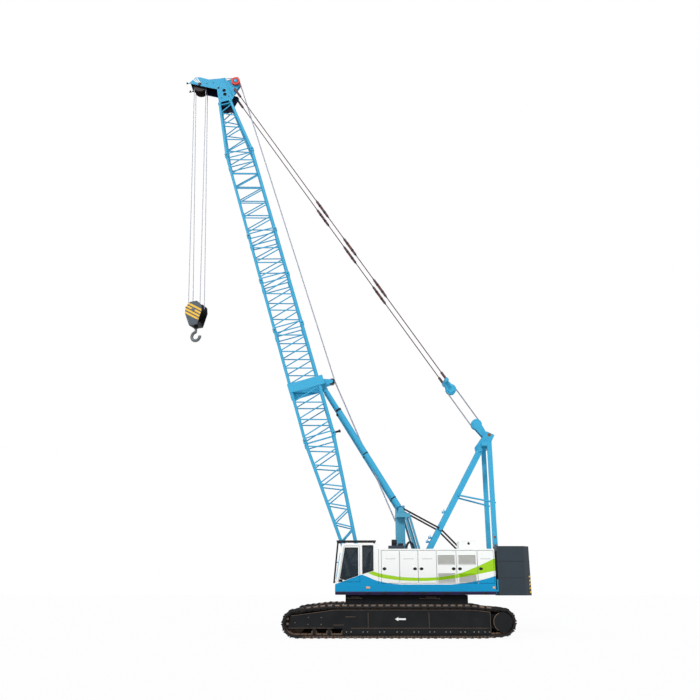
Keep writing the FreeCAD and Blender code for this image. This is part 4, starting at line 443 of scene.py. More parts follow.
# ---------------- slewing ring
# A forged bearing ring between the undercarriage and the deck. Its bolts stand in a close
# circle on the carbody, greased and dark.
ring_steel = finish("ring_steel", (0.11, 0.11, 0.11), roughness=0.45, metallic=0.7, dirt=0.3, size=3.0,
                    dirt_color=(0.05, 0.04, 0.035))
dress(ring_steel, "slewing_ring")
ring_low, ring_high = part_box("slewing_ring")
ring_bolts = bmesh.new()
bolt_ring(ring_bolts, (0, 0, ring_low.z), (0, 0, 1), ring_high.x + 0.06, 48, 0.020, 0.030)
settle("slewing_ring_bolts", ring_bolts, ring_steel, "undercarriage")
lines = bmesh.new()
LINE_Y, LINE_R = 1.415, 0.017
LINE_RUNS = ((1.24, 1.80, 1.310), (1.32, 1.66, 1.355), (-1.75, -0.95, 1.305), (-1.60, -1.20, 1.350))
for side in (1, -1):
    for x0, x1, z in LINE_RUNS:
        barrel(lines, (x0, side * LINE_Y, z), (x1, side * LINE_Y, z), LINE_R, segments=12, bevel=0.003)
        for x in (x0 + 0.05, x1 - 0.05):
            block(lines, (x, side * (LINE_Y - 0.005), z), (0.045, 0.030, 0.046), bevel=0.005)
settle("carbody_lines", lines, frame_edge, "undercarriage")

# ---------------- deck and skirts
# The deck is a welded frame in machine blue. Pressed skirt panels close its sides, bolted to
# small dark brackets along their lower edge, with a reflector near each end.
SKIRT_BLUE = (0.0, 0.280, 0.550)
STRIPE_GREEN = (0.330, 0.600, 0.012)
skirt_paint = finish("skirt_paint", SKIRT_BLUE, roughness=0.40, dirt=0.05, ground=0.15, tone=0.02, bump=0.08)
machine_blue = finish("machine_blue", (0.045, 0.370, 0.590), roughness=0.42, dirt=0.05, ground=0.15, tone=0.03,
                      bump=0.10)
dark_paint = finish("dark_paint", (0.010, 0.009, 0.012), roughness=0.45, dirt=0.05, tone=0.3, bump=0.2)
# A dark purple that is painted shade, for the shaded foot of the skirts under the deck.
skirt_foot_painted_shade = finish("skirt_foot_painted_shade", (0.020, 0.010, 0.055), roughness=0.5, dirt=0.08, tone=0.2)
dress(skirt_paint, "deck_skirts")
dress(machine_blue, "deck_frame")
skirt_low, skirt_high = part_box("deck_skirts")
SKIRT_Y = skirt_high.y
BRACKET_XS = (1.960, 1.024, 0.400, -0.484, -1.108, -1.966, -2.590, -3.448)
REFLECTOR_SPANS, REFLECTOR_Z = ((0.93, 1.08), (-3.82, -3.72)), 1.70
brackets, lamps, skirt_shade_strips = (bmesh.new() for made in range(3))
bracket_z = skirt_low.z + 0.030
middle_x, length = (skirt_low.x + skirt_high.x) / 2, skirt_high.x - skirt_low.x - 0.02
for side in (1, -1):
    for x in BRACKET_XS:
        block(brackets, (x, side * (SKIRT_Y - 0.005), bracket_z), (0.19, 0.030, 0.070), bevel=0.005)
        for step in (-0.035, 0.035):
            nut(brackets, (x + step, side * (SKIRT_Y + 0.010), bracket_z), (0, side, 0), 0.011, 0.008)
    for x0, x1 in REFLECTOR_SPANS:
        block(lamps, ((x0 + x1) / 2, side * (SKIRT_Y + 0.006), REFLECTOR_Z), (x1 - x0, 0.012, 0.075), bevel=0.005)
    # Painted shade under the deck: a dark purple strip beneath each skirt, which also closes the gap there, and one on
    # the skirt's foot.
    block(skirt_shade_strips, (middle_x, side * (SKIRT_Y - 0.027), skirt_low.z - 0.014), (length, 0.050, 0.034), bevel=0.004)
    block(skirt_shade_strips, (middle_x, side * (SKIRT_Y + 0.001), skirt_low.z + 0.044), (length, 0.006, 0.088), bevel=0.002)
settle("skirt_brackets", brackets, dark_paint, "upperworks")
settle("skirt_foot_shade_strips", skirt_shade_strips, skirt_foot_painted_shade, "upperworks")
lens = finish("reflector_lens", (0.80, 0.42, 0.22), roughness=0.18, coat=0.8, dirt=0.08, size=4.0)
settle("skirt_reflectors", lamps, lens, "upperworks")

# ---------------- machinery house
# Pressed steel doors and a folded steel roof in white enamel. A blue swoop and a green
# stripe are sprayed across the doors, over pressed slots and louvre packs in pale grey, which is painted shade in the
# slots and between the blades.
livery, took, gave = new_group("livery", [("Base", "NodeSocketColor", (0.8, 0.8, 0.78, 1))])
LIVERY_REAR_X, LIVERY_FRONT_X = -3.90, 2.30
LIVERY_LOW_Z, LIVERY_HIGH_Z = 1.70, 2.90
BLUE_EDGE = ((2.29, 1.809), (1.242, 2.171), (1.076, 2.111), (0.608, 1.937), (0.036, 1.838), (-0.743, 1.798),
             (-1.784, 1.798), (-2.305, 1.823), (-2.882, 1.897), (-3.355, 1.987), (-3.859, 2.121))
GREEN_LOW = ((1.13, 2.262), (1.023, 2.231), (0.554, 2.072), (0.034, 1.987), (-0.487, 1.947), (-1.008, 1.937),
             (-1.634, 1.962), (-2.367, 2.047), (-3.104, 2.171), (-3.859, 2.315))
GREEN_HIGH = ((1.13, 2.200), (1.023, 2.231), (0.813, 2.291), (0.552, 2.206), (0.031, 2.121), (-0.281, 2.082),
              (-1.011, 2.057), (-1.638, 2.077), (-2.058, 2.126), (-2.374, 2.186), (-3.119, 2.447), (-3.873, 2.775))
parts = node(livery, "SeparateXYZ", {0: node(livery, "TexCoord")["Object"]})
along, up = (node(livery, "MapRange",
                  {"Value": parts[axis], "From Min": least, "From Max": most, "To Min": 0.0, "To Max": 1.0})
             for axis, least, most in (("X", LIVERY_REAR_X, LIVERY_FRONT_X), ("Z", LIVERY_LOW_Z, LIVERY_HIGH_Z)))


def edge_height(points):
    """The height of a sprayed edge at each place along the side, through a few set points."""
    curve = node(livery, "FloatCurve", {"Value": along})
    knots = sorted(((x - LIVERY_REAR_X) / (LIVERY_FRONT_X - LIVERY_REAR_X),
                    (z - LIVERY_LOW_Z) / (LIVERY_HIGH_Z - LIVERY_LOW_Z)) for x, z in points)
    line = curve.holder.mapping.curves[0].points
    line[0].location, line[1].location = knots[0], knots[-1]
    for knot in knots[1:-1]:
        line.new(*knot)
    for knot in line:
        knot.handle_type = "VECTOR" if knot.location.y > 0.35 and knot.location.x > 0.5 else "AUTO_CLAMPED"
    curve.holder.mapping.update()
    return curve


outer_skin = abs(parts["Y"]) > SKIRT_Y - 0.05
green_share = (up > edge_height(GREEN_LOW)) * (up < edge_height(GREEN_HIGH)) * (parts["X"] < GREEN_LOW[0][0])
striped = tinted(livery, green_share * outer_skin, took["Base"], (*STRIPE_GREEN, 1))
blue_share = outer_skin * (up < edge_height(BLUE_EDGE))
feed(gave, {"Color": tinted(livery, blue_share, striped, (*SKIRT_BLUE, 1))})

house_paint = finish("house_paint", (0.87, 0.87, 0.84), roughness=0.38, dirt=0.05, ground=0.1, tone=0.02, bump=0.10,
                     over=livery)
# The louvre and slot pieces take a greyer base than the doors: painted shade in the slots and between the blades, under
# the sprayed stripes.
louvre_livery_and_painted_shade = finish("louvre_livery_and_painted_shade", (0.50, 0.49, 0.455), roughness=0.5, dirt=0.12, tone=0.1, bump=0.2, size=2.0,
                      over=livery)
LEFT_DOORS = ["door_left_%d" % number for number in range(1, 7)]
RIGHT_DOORS = ["door_right_%d" % number for number in range(1, 4)]
dress(house_paint, "house_left", "house_right", *LEFT_DOORS, *RIGHT_DOORS)


def louvre_pack(bm, x0, x1, z0, z1, face_y, side):
    """A framed pack of slanted blades that stands just proud of a door."""
    rim, blades, out = 0.022, 9, 0.007 if side > 0 else 0.000
    mid_x, mid_z, frame_y = (x0 + x1) / 2, (z0 + z1) / 2, face_y + side * out
    for x in (x0 + rim / 2, x1 - rim / 2):
        block(bm, (x, frame_y, mid_z), (rim, 0.018, z1 - z0), bevel=0.004)
    for z in (z0 + rim / 2, z1 - rim / 2):
        block(bm, (mid_x, frame_y, z), (x1 - x0 - rim, 0.018, rim), bevel=0.004)
    pitch = (z1 - z0 - 2 * rim) / blades
    tilt = swung(side * -38, "X")
    for index in range(blades):
        block(bm, (mid_x, frame_y - side * 0.001, z0 + rim + pitch * (index + 0.5)),
              (x1 - x0 - 2 * rim, 0.004, pitch * (1.05 if side > 0 else 0.55)), turn=tilt)


def door_handle(bm, x, z, face_y, side):
    """A flush paddle latch: an oval dish, a raised rim in it and the lever across."""
    for radius, out in ((0.055, 0.004), (0.038, 0.006)):
        dish = barrel(bm, (x, face_y, z), (x, face_y + side * out, z), radius, segments=24, bevel=0.002)
        bmesh.ops.scale(bm, vec=(1.36, 1, 1), space=Matrix.Translation((-x, 0, 0)), verts=dish)
    block(bm, (x, face_y + side * 0.005, z), (0.080, 0.008, 0.024), bevel=0.003)


LOUVRE_SPANS = {"door_left_4": (-2.320, -1.675), "door_left_5": (-3.125, -2.465)}
LOUVRE_ROWS = ((2.545, 2.892), (1.890, 2.225))
HANDLE_Z = 2.382
HANDLE_XS = dict(zip(LEFT_DOORS, (0.372, -0.792, -1.041, -2.270, -2.511, -3.313)))
for door in LEFT_DOORS + RIGHT_DOORS:
    low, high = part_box(door)
    side = 1 if low.y > 0 else -1
    face_y = high.y if side > 0 else low.y
    handle_x = HANDLE_XS.get(door, low.x + 0.12)
    fittings, slots = bmesh.new(), bmesh.new()
    door_handle(fittings, handle_x, HANDLE_Z, face_y, side)
    settle(door + "_latch", fittings, dark_paint, door)
    if door in LOUVRE_SPANS:
        for z0, z1 in LOUVRE_ROWS:
            louvre_pack(slots, *LOUVRE_SPANS[door], z0, z1, face_y, side)
    elif side < 0:
        louvre_pack(slots, low.x + 0.22, high.x - 0.22, *LOUVRE_ROWS[0], face_y, side)
    # Each plain door gets a slot, drawn as a thin grey strip that is painted shade in the pressing.
    if door not in LOUVRE_SPANS:
        block(slots, ((low.x + high.x) / 2, face_y + side * 0.001, 2.75 if side > 0 else low.z + 0.12),
              (0.40, 0.008, 0.022), bevel=0.0035)
    settle(door + "_pressings", slots, louvre_livery_and_painted_shade, door)

# The roof carries a breather box with a round black inlet and, by the middle, the backstops' valve block.
INLET_X, INLET_Y, INLET_Z, INTAKE_TOP_Z = -2.898, 1.56, 3.325, 3.41
inlet = bmesh.new()
for near, far, radius, segments in ((-0.005, 0.012, 0.048, 32), (0.010, 0.020, 0.026, 24)):
    barrel(inlet, (INLET_X, INLET_Y + near, INLET_Z), (INLET_X, INLET_Y + far, INLET_Z), radius, segments=segments,
           bevel=0.003)
block(inlet, (INLET_X, 1.255, INTAKE_TOP_Z + 0.004), (0.50, 0.42, 0.010), bevel=0.004)
settle("intake_inlet", inlet, dark_paint, "upperworks")
valve_grey = finish("valve_grey", (0.035, 0.045, 0.058), roughness=0.6, dirt=0.12, size=3.0)
VALVE_FOOT_Z, VALVE_SHOULDER_Z = 3.26, 3.36
ARCH_X, ARCH_Z, ARCH_HALF, ARCH_RISE = -0.672, 3.11, 0.148, 0.295
plinth, valves = bmesh.new(), bmesh.new()
block(plinth, (-0.135, 1.00, 3.192), (0.63, 0.28, 0.148), bevel=0.010)
for x, y, top in ((-0.050, 1.00, 3.50), (-0.300, 0.98, VALVE_SHOULDER_Z)):
    block(valves, (x, y, (VALVE_FOOT_Z + top) / 2), (0.20, 0.18, top - VALVE_FOOT_Z), bevel=0.010)
for x in (-0.115, 0.015):
    barrel(valves, (x, 1.085, VALVE_SHOULDER_Z), (x, 1.125, VALVE_SHOULDER_Z), 0.026, bevel=0.003)
arch = [(ARCH_X + ARCH_HALF * cos(pi * step / 16), 1.02, ARCH_Z + ARCH_RISE * sin(pi * step / 16))
        for step in range(17)]
rod(valves, arch, 0.044)
settle("valve_plinth", plinth, valve_grey, "upperworks")
settle("valve_block", valves, dark_paint, "upperworks")
dress(finish("engine_grey", (0.16, 0.17, 0.18), roughness=0.5, dirt=0.3, size=2.0), "engine")
dress(finish("tank_white", (0.72, 0.72, 0.69), roughness=0.4, coat=0.2, dirt=0.15), "fuel_tank")

# ---------------- cab
# A folded steel box in the same enamel, with bonded panes in rubber. Inside is a sprung
# fabric seat between two trimmed consoles with joysticks; a barred guard covers the roof.
dress(house_paint, "cab_shell", "cab_door")
dress(dark_paint, "roof_guard")
rubber = finish("rubber", (0.012, 0.012, 0.013), roughness=0.7, dirt=0.12, size=3.0, bump=0.3)
trim = finish("cab_trim_grain", (0.05, 0.05, 0.055), roughness=0.65, dirt=0.1, size=4.0, bump=0.5)
fabric = finish("seat_fabric", (0.035, 0.045, 0.06), roughness=0.9, dirt=0.1, size=8.0, bump=0.8)

pane_glass = bpy.data.materials.new("pane_glass")
pane_glass.use_nodes = True
tree = pane_glass.node_tree
place = node(tree, "TexCoord")["Object"]
film = node(tree, "TexNoise", {"Vector": place, "Scale": 2.2, "Detail": 3.0})
feed(tree.nodes["Principled BSDF"], {
    "Base Color": tinted(tree, film, (0.003, 0.010, 0.017, 1), (0.017, 0.036, 0.053, 1)),
    "Roughness": 0.04, "Alpha": 0.62, "Specular IOR Level": 0.3})
dress(pane_glass, "cab_glass", "cab_door_glass")

cab_low, cab_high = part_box("cab_shell")
CAB_Y = cab_high.y
DOOR_PANE = ((1.39, 2.15), (1.871, 1.985), (2.069, 2.045), (1.886, 3.154), (1.39, 3.154))
REAR_PANE = ((0.80, 2.33), (1.215, 2.205), (1.215, 3.238), (0.80, 3.238))
SEAT_MID_Y = (cab_low.y + cab_high.y) / 2
GASKET_WIDTH, GASKET_PROUD = 0.030, 0.008


def gasket(name, corners, body):
    """A rubber strip around a pane's edge on the cab's left face, mitred at its corners."""
    bm = bmesh.new()
    middle = sum((Vector((x, 0, z)) for x, z in corners), Vector()) / len(corners)
    rings = []
    for spread in (GASKET_WIDTH / 2, -GASKET_WIDTH / 2):
        for y in (CAB_Y - 0.004, CAB_Y + GASKET_PROUD):
            ring = []
            for x, z in corners:
                out = (Vector((x, 0, z)) - middle).normalized() * spread * 1.3
                ring.append(bm.verts.new((x + out.x, y, z + out.z)))
            rings.append(ring)
    outer_back, outer_face, inner_back, inner_face = rings
    for index in range(len(corners)):
        after = (index + 1) % len(corners)
        for a, b in ((outer_back, outer_face), (outer_face, inner_face), (inner_face, inner_back),
                     (inner_back, outer_back)):
            bm.faces.new((a[index], a[after], b[after], b[index]))
    settle(name, bm, rubber, body, smooth=20)


gasket("door_gasket", DOOR_PANE, "cab_door")
gasket("rear_pane_gasket", REAR_PANE, "upperworks")

latch = bmesh.new()
block(latch, (2.045, CAB_Y + 0.004, 1.955), (0.135, 0.012, 0.085), bevel=0.005)
block(latch, (2.045, CAB_Y + 0.014, 1.965), (0.105, 0.014, 0.032), bevel=0.006)
settle("cab_door_handle", latch, rubber, "cab_door")

# The windscreen carries a wiper, and a black rail stands off its near edge.
CAB_SLOPE, SCREEN_FOOT_Z = 0.16512, 1.81


def on_screen(z, off, y):
    """A point on the raked windscreen at a height, held off it and set across from its middle."""
    return Vector((cab_high.x - (z - SCREEN_FOOT_Z) * CAB_SLOPE + off, SEAT_MID_Y + y, z))


front_fittings = bmesh.new()
wiper_foot, wiper_tip = on_screen(2.00, 0.004, -0.15), on_screen(2.72, 0.012, 0.10)
barrel(front_fittings, wiper_foot + Vector((-0.02, 0, 0)), wiper_foot + Vector((0.018, 0, 0)), 0.028)
barrel(front_fittings, wiper_foot + Vector((0.012, 0, 0)), wiper_tip, 0.008, segments=8)
blade = (wiper_tip - wiper_foot).normalized() * 0.28
barrel(front_fittings, wiper_tip - blade, wiper_tip + blade, 0.010, segments=8)
rail_top, rail_foot = Vector((2.155, CAB_Y - 0.06, 3.380)), Vector((2.300, CAB_Y - 0.06, 1.860))
barrel(front_fittings, rail_foot, rail_top, 0.032, bevel=0.004)
for share in (0.03, 0.5, 0.97):
    held = rail_foot.lerp(rail_top, share)
    barrel(front_fittings, held, held - Vector((0.13, 0, 0)), 0.014, segments=12)
settle("cab_wiper_and_rail", front_fittings, rubber, "upperworks")
screen_edge = bmesh.new()
edge_foot, edge_top = Vector((2.222, CAB_Y - 0.012, 2.041)), Vector((2.068, CAB_Y - 0.012, 2.968))
rise = edge_top - edge_foot
block(screen_edge, (edge_foot + edge_top) / 2, (0.026, 0.020, rise.length), bevel=0.004,
      turn=Matrix.Rotation(atan2(rise.x, rise.z), 3, "Y"))
settle("windscreen_trim", screen_edge, machine_blue, "upperworks")

# The seat, its bellows and the consoles, each given ahead of the seat, across from it and above the floor.
SEAT_X, CONSOLE_Y, PEDAL_Y = 1.22, 0.29, 0.10
inside_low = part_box("cab_interior")[0]


def in_cab(ahead, across, up):
    """A point inside the cab given from the foot of the seat."""
    return Vector((SEAT_X + ahead, SEAT_MID_Y + across, inside_low.z + up))


seat_cloth, cab_plastic = bmesh.new(), bmesh.new()
CUSHIONS = (
    ((0.02, 0, 0.385), (0.50, 0.48, 0.13), 0.055, 0), ((-0.235, 0, 0.72), (0.12, 0.46, 0.58), 0.050, -9),
    ((-0.29, 0, 1.08), (0.09, 0.27, 0.17), 0.038, -9),
    ((0.02, 0.20, 0.425), (0.46, 0.075, 0.10), 0.034, 0), ((0.02, -0.20, 0.425), (0.46, 0.075, 0.10), 0.034, 0),
    ((-0.215, 0.194, 0.74), (0.11, 0.07, 0.46), 0.030, -9), ((-0.215, -0.194, 0.74), (0.11, 0.07, 0.46), 0.030, -9))
for place, size, bevel, degrees in CUSHIONS:
    block(seat_cloth, in_cab(*place), size, bevel=bevel, turn=swung(degrees), segments=4)
for index in range(5):
    block(cab_plastic, in_cab(0, 0, 0.055 + index * 0.055), (0.44, 0.42, 0.022), bevel=0.010)
TRIMMED = (
    ((0, 0, 0.16), (0.40, 0.38, 0.32), 0.03, 0), ((0.71, 0, 0.27), (0.15, 0.50, 0.54), 0.03, 0),
    ((0.68, 0, 0.60), (0.06, 0.34, 0.22), 0.02, 18),
    ((0.03, inside_low.y + 0.05 - SEAT_MID_Y, 0.28), (0.48, 0.085, 0.56), 0.02, 0))
for place, size, bevel, degrees in TRIMMED:
    block(cab_plastic, in_cab(*place), size, bevel=bevel, turn=swung(degrees))
for side in (1, -1):
    block(cab_plastic, in_cab(0.03, side * CONSOLE_Y, 0.56), (0.34, 0.085, 0.07), bevel=0.022, segments=3)
    block(cab_plastic, in_cab(-0.08, side * CONSOLE_Y, 0.42), (0.06, 0.05, 0.28), bevel=0.012)
    stick = in_cab(0.15, side * CONSOLE_Y, 0.59)
    barrel(cab_plastic, stick, stick + Vector((0.01, 0, 0.13)), 0.011, segments=12)
    barrel(cab_plastic, stick + Vector((0.01, 0, 0.12)), stick + Vector((0.02, 0, 0.21)), 0.024, tip=0.019,
           bevel=0.008)
    block(cab_plastic, in_cab(0.52, side * PEDAL_Y, 0.06), (0.16, 0.09, 0.018), bevel=0.006, turn=swung(-28))
    barrel(cab_plastic, in_cab(0.58, side * PEDAL_Y, 0.06), in_cab(0.61, side * PEDAL_Y * 0.8, 0.42), 0.008, segments=8)
seat = settle("operator_seat", seat_cloth, fabric, "upperworks", smooth=50)
consoles = settle("cab_consoles", cab_plastic, trim, "upperworks")
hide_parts("cab_interior")

# ---------------- counterweight
# Three cast slabs stacked on the tail, in dark enamel over coarse casting skin. The cut corners
# carry short yellow warning bars low down; lifting sockets stand in the top slab.
ballast = finish("ballast_paint", (0.027, 0.038, 0.048), roughness=0.5, dirt=0.05, ground=0.1, tone=0.10, size=1.5,
                 bump=0.35, bump_size=0.004)
warning_yellow = finish("warning_yellow", (0.85, 0.50, 0.06), roughness=0.4, dirt=0.1, size=3.0)
dress(ballast, "counterweight")
weight_low, weight_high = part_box("counterweight")
SLAB_JOINTS = (2.054, 2.657)
SOCKET_IN_X, SOCKET_Y = 0.35, 0.95
CORNER_CUT = 0.26
BAR_COUNT, BAR_PITCH, BAR_LOW_Z = 5, 0.14, 0.11
bars, eyes, slab_lines = (bmesh.new() for made in range(3))
corner_in, bar_in = CORNER_CUT / 2, 0.055
flank = weight_high.x - weight_low.x - CORNER_CUT
for side in (1, -1):
    turn = swung(side * 45, "Z") @ swung(28, "X")
    for index in range(BAR_COUNT):
        block(bars, (weight_low.x + corner_in - bar_in, side * (weight_high.y - corner_in - bar_in),
                     weight_low.z + BAR_LOW_Z + index * BAR_PITCH), (0.008, 0.13, 0.060), turn=turn)
    for z in (*SLAB_JOINTS, weight_high.z - 0.022):
        block(slab_lines, (weight_high.x - flank / 2 - 0.005, side * weight_high.y, z), (flank - 0.02, 0.005, 0.014))
for x in (weight_low.x + SOCKET_IN_X, weight_high.x - SOCKET_IN_X):
    for y in (-SOCKET_Y, SOCKET_Y):
        barrel(eyes, (x, y, weight_high.z - 0.004), (x, y, weight_high.z + 0.006), 0.055, segments=24, bevel=0.003)
settle("warning_bars", bars, warning_yellow, "upperworks", smooth=0)
settle("slab_joint_lines", slab_lines, dark_paint, "upperworks", smooth=0)
settle("ballast_lift_sockets", eyes, dark_paint, "upperworks")

# ---------------- winches
# Grooved cast drums, driven from inside, that wind the hoist rope and the luffing rope. The
# greased steel rope lies in close turns between the flanges.
winch_paint = finish("winch_paint", (0.028, 0.30, 0.52), roughness=0.45, dirt=0.3, size=2.0)
dress(winch_paint, "hoist_winch", "luff_winch")
rope_steel = bpy.data.materials.new("rope_lay")
rope_steel.use_nodes = True
tree = rope_steel.node_tree
place = node(tree, "TexCoord")["Object"]
turned = node(tree, "Mapping", {"Vector": place, "Rotation": (0.4, 0.9, 0.3)})
lay = node(tree, "TexWave", {"Vector": turned, "Scale": 28.0, "Distortion": 1.5, "Detail": 2.0})["Fac"]
feed(tree.nodes["Principled BSDF"], {
    "Metallic": 0.55, "Base Color": tinted(tree, lay, (0.20, 0.205, 0.235, 1), (0.50, 0.52, 0.60, 1)),
    "Roughness": lay * 0.2 + 0.35,
    "Normal": node(tree, "Bump", {"Strength": 0.5, "Distance": 0.003, "Height": lay})})
ROPE_R = 0.017
DRUM_R, DRUM_HALF = 0.26, 0.30


def rope_turns(name, axis):
    """Close turns of rope around a drum that lies across the machine."""
    bm, half = bmesh.new(), DRUM_HALF - 0.02
    turns = int(half * 2 / (ROPE_R * 2.05))
    steps, sides = turns * 20, 6
    last = None
    for step in range(steps + 1):
        angle = tau * step / 20
        y = -half + 2 * half * step / steps
        ring = []
        for index in range(sides):
            around = tau * index / sides
            reach = DRUM_R + ROPE_R + cos(around) * ROPE_R
            ring.append(bm.verts.new((axis.x + cos(angle) * reach, y + sin(around) * ROPE_R,
                                      axis.z + sin(angle) * reach)))
        if last:
            for index in range(sides):
                after = (index + 1) % sides
                bm.faces.new((last[index], last[after], ring[after], ring[index]))
        else:
            bm.faces.new(ring)
        last = ring
    bm.faces.new(last)
    settle(name, bm, rope_steel, "upperworks", smooth=60)


HOIST_AXIS, LUFF_AXIS = Vector((-1.0, 0, 2.35)), Vector((-2.3, 0, 2.25))
rope_turns("hoist_rope_turns", HOIST_AXIS)
rope_turns("luff_rope_turns", LUFF_AXIS)

# ---------------- gantry and portal
# A welded mast and rear legs hold the luffing stays; a portal in front of them carries the
# backstop struts. Both are bolted and pinned plate work in machine blue with rusted pins.
portal_blue = finish("portal_blue", (0.075, 0.315, 0.455), roughness=0.45, dirt=0.14, tone=0.04, bump=0.12)
pin_rust = finish("pin_rust", (0.22, 0.085, 0.030), roughness=0.6, metallic=0.3, dirt=0.3, size=5.0)
dress(machine_blue, "gantry_mast", "gantry_rear_legs")
dress(portal_blue, "backstop_portal")
dress(dark_paint, "portal_stays")
MAST_FOOT = Vector((-1.40, 0, 2.95))
MAST_TOP = Vector((-4.10, 0, 7.75))
REAR_LEG_X = -4.09
MAST_LEG_Y = 0.29
LEG_PLATE_Z, LEG_BOLT_ZS = 3.46, (3.18, 3.74)
MAST_LUGS = ((-1.50, 3.47), (-1.60, 3.63), (-2.20, 4.66))
leg_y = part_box("gantry_rear_legs")[1].y
mast_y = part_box("gantry_mast")[1].y
GANTRY_PINS = ((REAR_LEG_X, leg_y, 3.30, 0.030, 0.045, 20), (REAR_LEG_X, leg_y, 3.62, 0.030, 0.045, 20),
               (MAST_TOP.x, mast_y, MAST_TOP.z, 0.012, 0.075, 24))
rust_pins, gantry_plates = bmesh.new(), bmesh.new()
for side in (1, -1):
    for x, y, z, proud, radius, segments in GANTRY_PINS:
        barrel(rust_pins, (x, side * (y - 0.01), z), (x, side * (y + proud), z), radius, segments=segments, bevel=0.006)
    for z in LEG_BOLT_ZS:
        for step in (-0.055, 0.055):
            nut(gantry_plates, (REAR_LEG_X + step, side * leg_y, z), (0, side, 0), 0.018, 0.016)
    block(gantry_plates, (REAR_LEG_X, side * (leg_y + 0.004), LEG_PLATE_Z), (0.17, 0.012, 0.72), bevel=0.004)
    for x, z in MAST_LUGS:
        block(gantry_plates, (x - 0.06, side * MAST_LEG_Y, z), (0.26, 0.024, 0.05), bevel=0.006)
        block(gantry_plates, (x + 0.05, side * MAST_LEG_Y, z + 0.035), (0.035, 0.024, 0.10), bevel=0.006)
settle("gantry_pins", rust_pins, pin_rust, "upperworks")
settle("leg_joint_plates", gantry_plates, machine_blue, "upperworks")

# Weld-on steps climb the mast's rear face up to the stay pins.
FIRST_RUNG, RUNG_PITCH, RUNG_HALF = 0.9, 0.34, Vector((0, 0.225, 0))
ladder = bmesh.new()
climb = (MAST_TOP - MAST_FOOT).normalized()
for index in range(11):
    rung = MAST_FOOT + climb * (FIRST_RUNG + index * RUNG_PITCH)
    barrel(ladder, rung + RUNG_HALF, rung - RUNG_HALF, 0.011, segments=8)
settle("mast_rungs", ladder, machine_blue, "upperworks")

# ---------------- lattice boom
# Round-tube lattice sections in machine blue, pinned together at forked lugs. Thin plates in
# a dark navy cross the top bay under the head, as painted shade inside the bay.
dress(machine_blue, "boom_base", "boom_inserts", "boom_top", "boom_cross_beam")
boom_joint = next(joint for joint in frame["joints"] if joint["name"] == "boom_luff")
BOOM_FOOT = Vector(boom_joint["pos_m"])
BOOM_ANGLE = radians(73.8)
UP = Vector((cos(BOOM_ANGLE), 0, sin(BOOM_ANGLE)))
AHEAD = Vector((sin(BOOM_ANGLE), 0, -cos(BOOM_ANGLE)))
CHORD_T, CHORD_Y = 0.617, 0.600
SECTION_JOINTS = (5.96, 11.06, 13.50, 15.80, 20.20)
LUG_SPREAD, LUG_SIZE = 0.055, (0.115, 0.024, 0.30)
PIN_REACH, CLIP_REACH = 0.095, 0.084
BOOM_TURN = Matrix((AHEAD, (0, 1, 0), UP)).transposed()


def on_boom(up, ahead, y):
    """A point given along the boom, ahead of its middle line and across it."""
    return BOOM_FOOT + UP * up + AHEAD * ahead + Vector((0, y, 0))


lugs, joint_pins = bmesh.new(), bmesh.new()
for up in SECTION_JOINTS:
    for ahead in (-CHORD_T, CHORD_T):
        for y in (-CHORD_Y, CHORD_Y):
            for lug_y in (y - LUG_SPREAD, y + LUG_SPREAD):
                block(lugs, on_boom(up, ahead, lug_y), LUG_SIZE, bevel=0.010, turn=BOOM_TURN)
            barrel(joint_pins, on_boom(up, ahead, y - PIN_REACH), on_boom(up, ahead, y + PIN_REACH), 0.030, bevel=0.004)
            for clip in (y - CLIP_REACH, y + CLIP_REACH):
                barrel(joint_pins, on_boom(up - 0.05, ahead, clip), on_boom(up + 0.05, ahead, clip), 0.004, segments=6)
settle("section_lugs", lugs, machine_blue, "boom")
settle("section_pins", joint_pins, dark_paint, "boom")

# Painted shade: a dark navy for the plates across the top bay, which stand for the shadow inside it.
shadow_navy = finish("top_bay_painted_shade_navy", (0.018, 0.012, 0.030), roughness=0.6, dirt=0.1, tone=0.2)
TOP_BAY_UP = 23.16
painted_shade_plates = bmesh.new()
for size in ((0.56, 0.010, 0.46), (0.010, 0.50, 0.46)):
    block(painted_shade_plates, on_boom(TOP_BAY_UP, 0.02, 0), size, bevel=0.003, turn=BOOM_TURN)
settle("top_bay_painted_shade_plates", painted_shade_plates, shadow_navy, "boom")

# The base section carries a stub for the boom's rest, tipped in rubber.
STUB_UP, STUB_BACK, STUB_HALF = 6.10, -0.655, 0.58
stub = bmesh.new()
for ahead0, ahead1, radius, bevel in ((-0.66, -0.90, 0.045, 0.006), (-0.88, -0.955, 0.065, 0.010)):
    barrel(stub, on_boom(STUB_UP, ahead0, 0), on_boom(STUB_UP, ahead1, 0), radius, segments=20, bevel=bevel)
barrel(stub, on_boom(STUB_UP, STUB_BACK, -STUB_HALF), on_boom(STUB_UP, STUB_BACK, STUB_HALF), 0.038)
settle("boom_rest_stub", stub, dark_paint, "boom")

# ---------------- boom head
# Two cranked cheek plates hold the head sheaves and, behind on a horn, the guide sheaves.
# White warning stripes cross the nose; a stiffening rib and lightening holes mark the cheeks.
HEAD_Y = 0.350


def two_sided(name, base, shade_color, across, middle, half, spared=None, **finish_values):
    """A finish with painted shade on the faces between two outer faces; a core behind a place (half width, x) can be
    spared.
    """
    tree, took, gave = new_group(name + "_sides", [("Base", "NodeSocketColor", (*base, 1))])
    place = node(tree, "TexCoord")
    spot = node(tree, "VectorMath", {0: place["Object"], 1: tuple(across)}, operation="DOT_PRODUCT")
    out = abs(spot["Value"] - Vector(middle).dot(Vector(across)))
    share = (out < half) * (node(tree, "SeparateXYZ", {0: place["Normal"]})["Z"] < 0.5)
    if spared:
        behind = node(tree, "SeparateXYZ", {0: place["Object"]})["X"] < spared[1]
        core = (out < spared[0]) * behind
        share = share * node(tree, "Math", {0: 1.0, 1: core}, operation="SUBTRACT")
    # Faces between the two outer faces that do not face up get the painted shade colour.
    feed(gave, {"Color": tinted(tree, share, took["Base"], (*shade_color, 1))})
    return finish(name, base, over=tree, **finish_values)
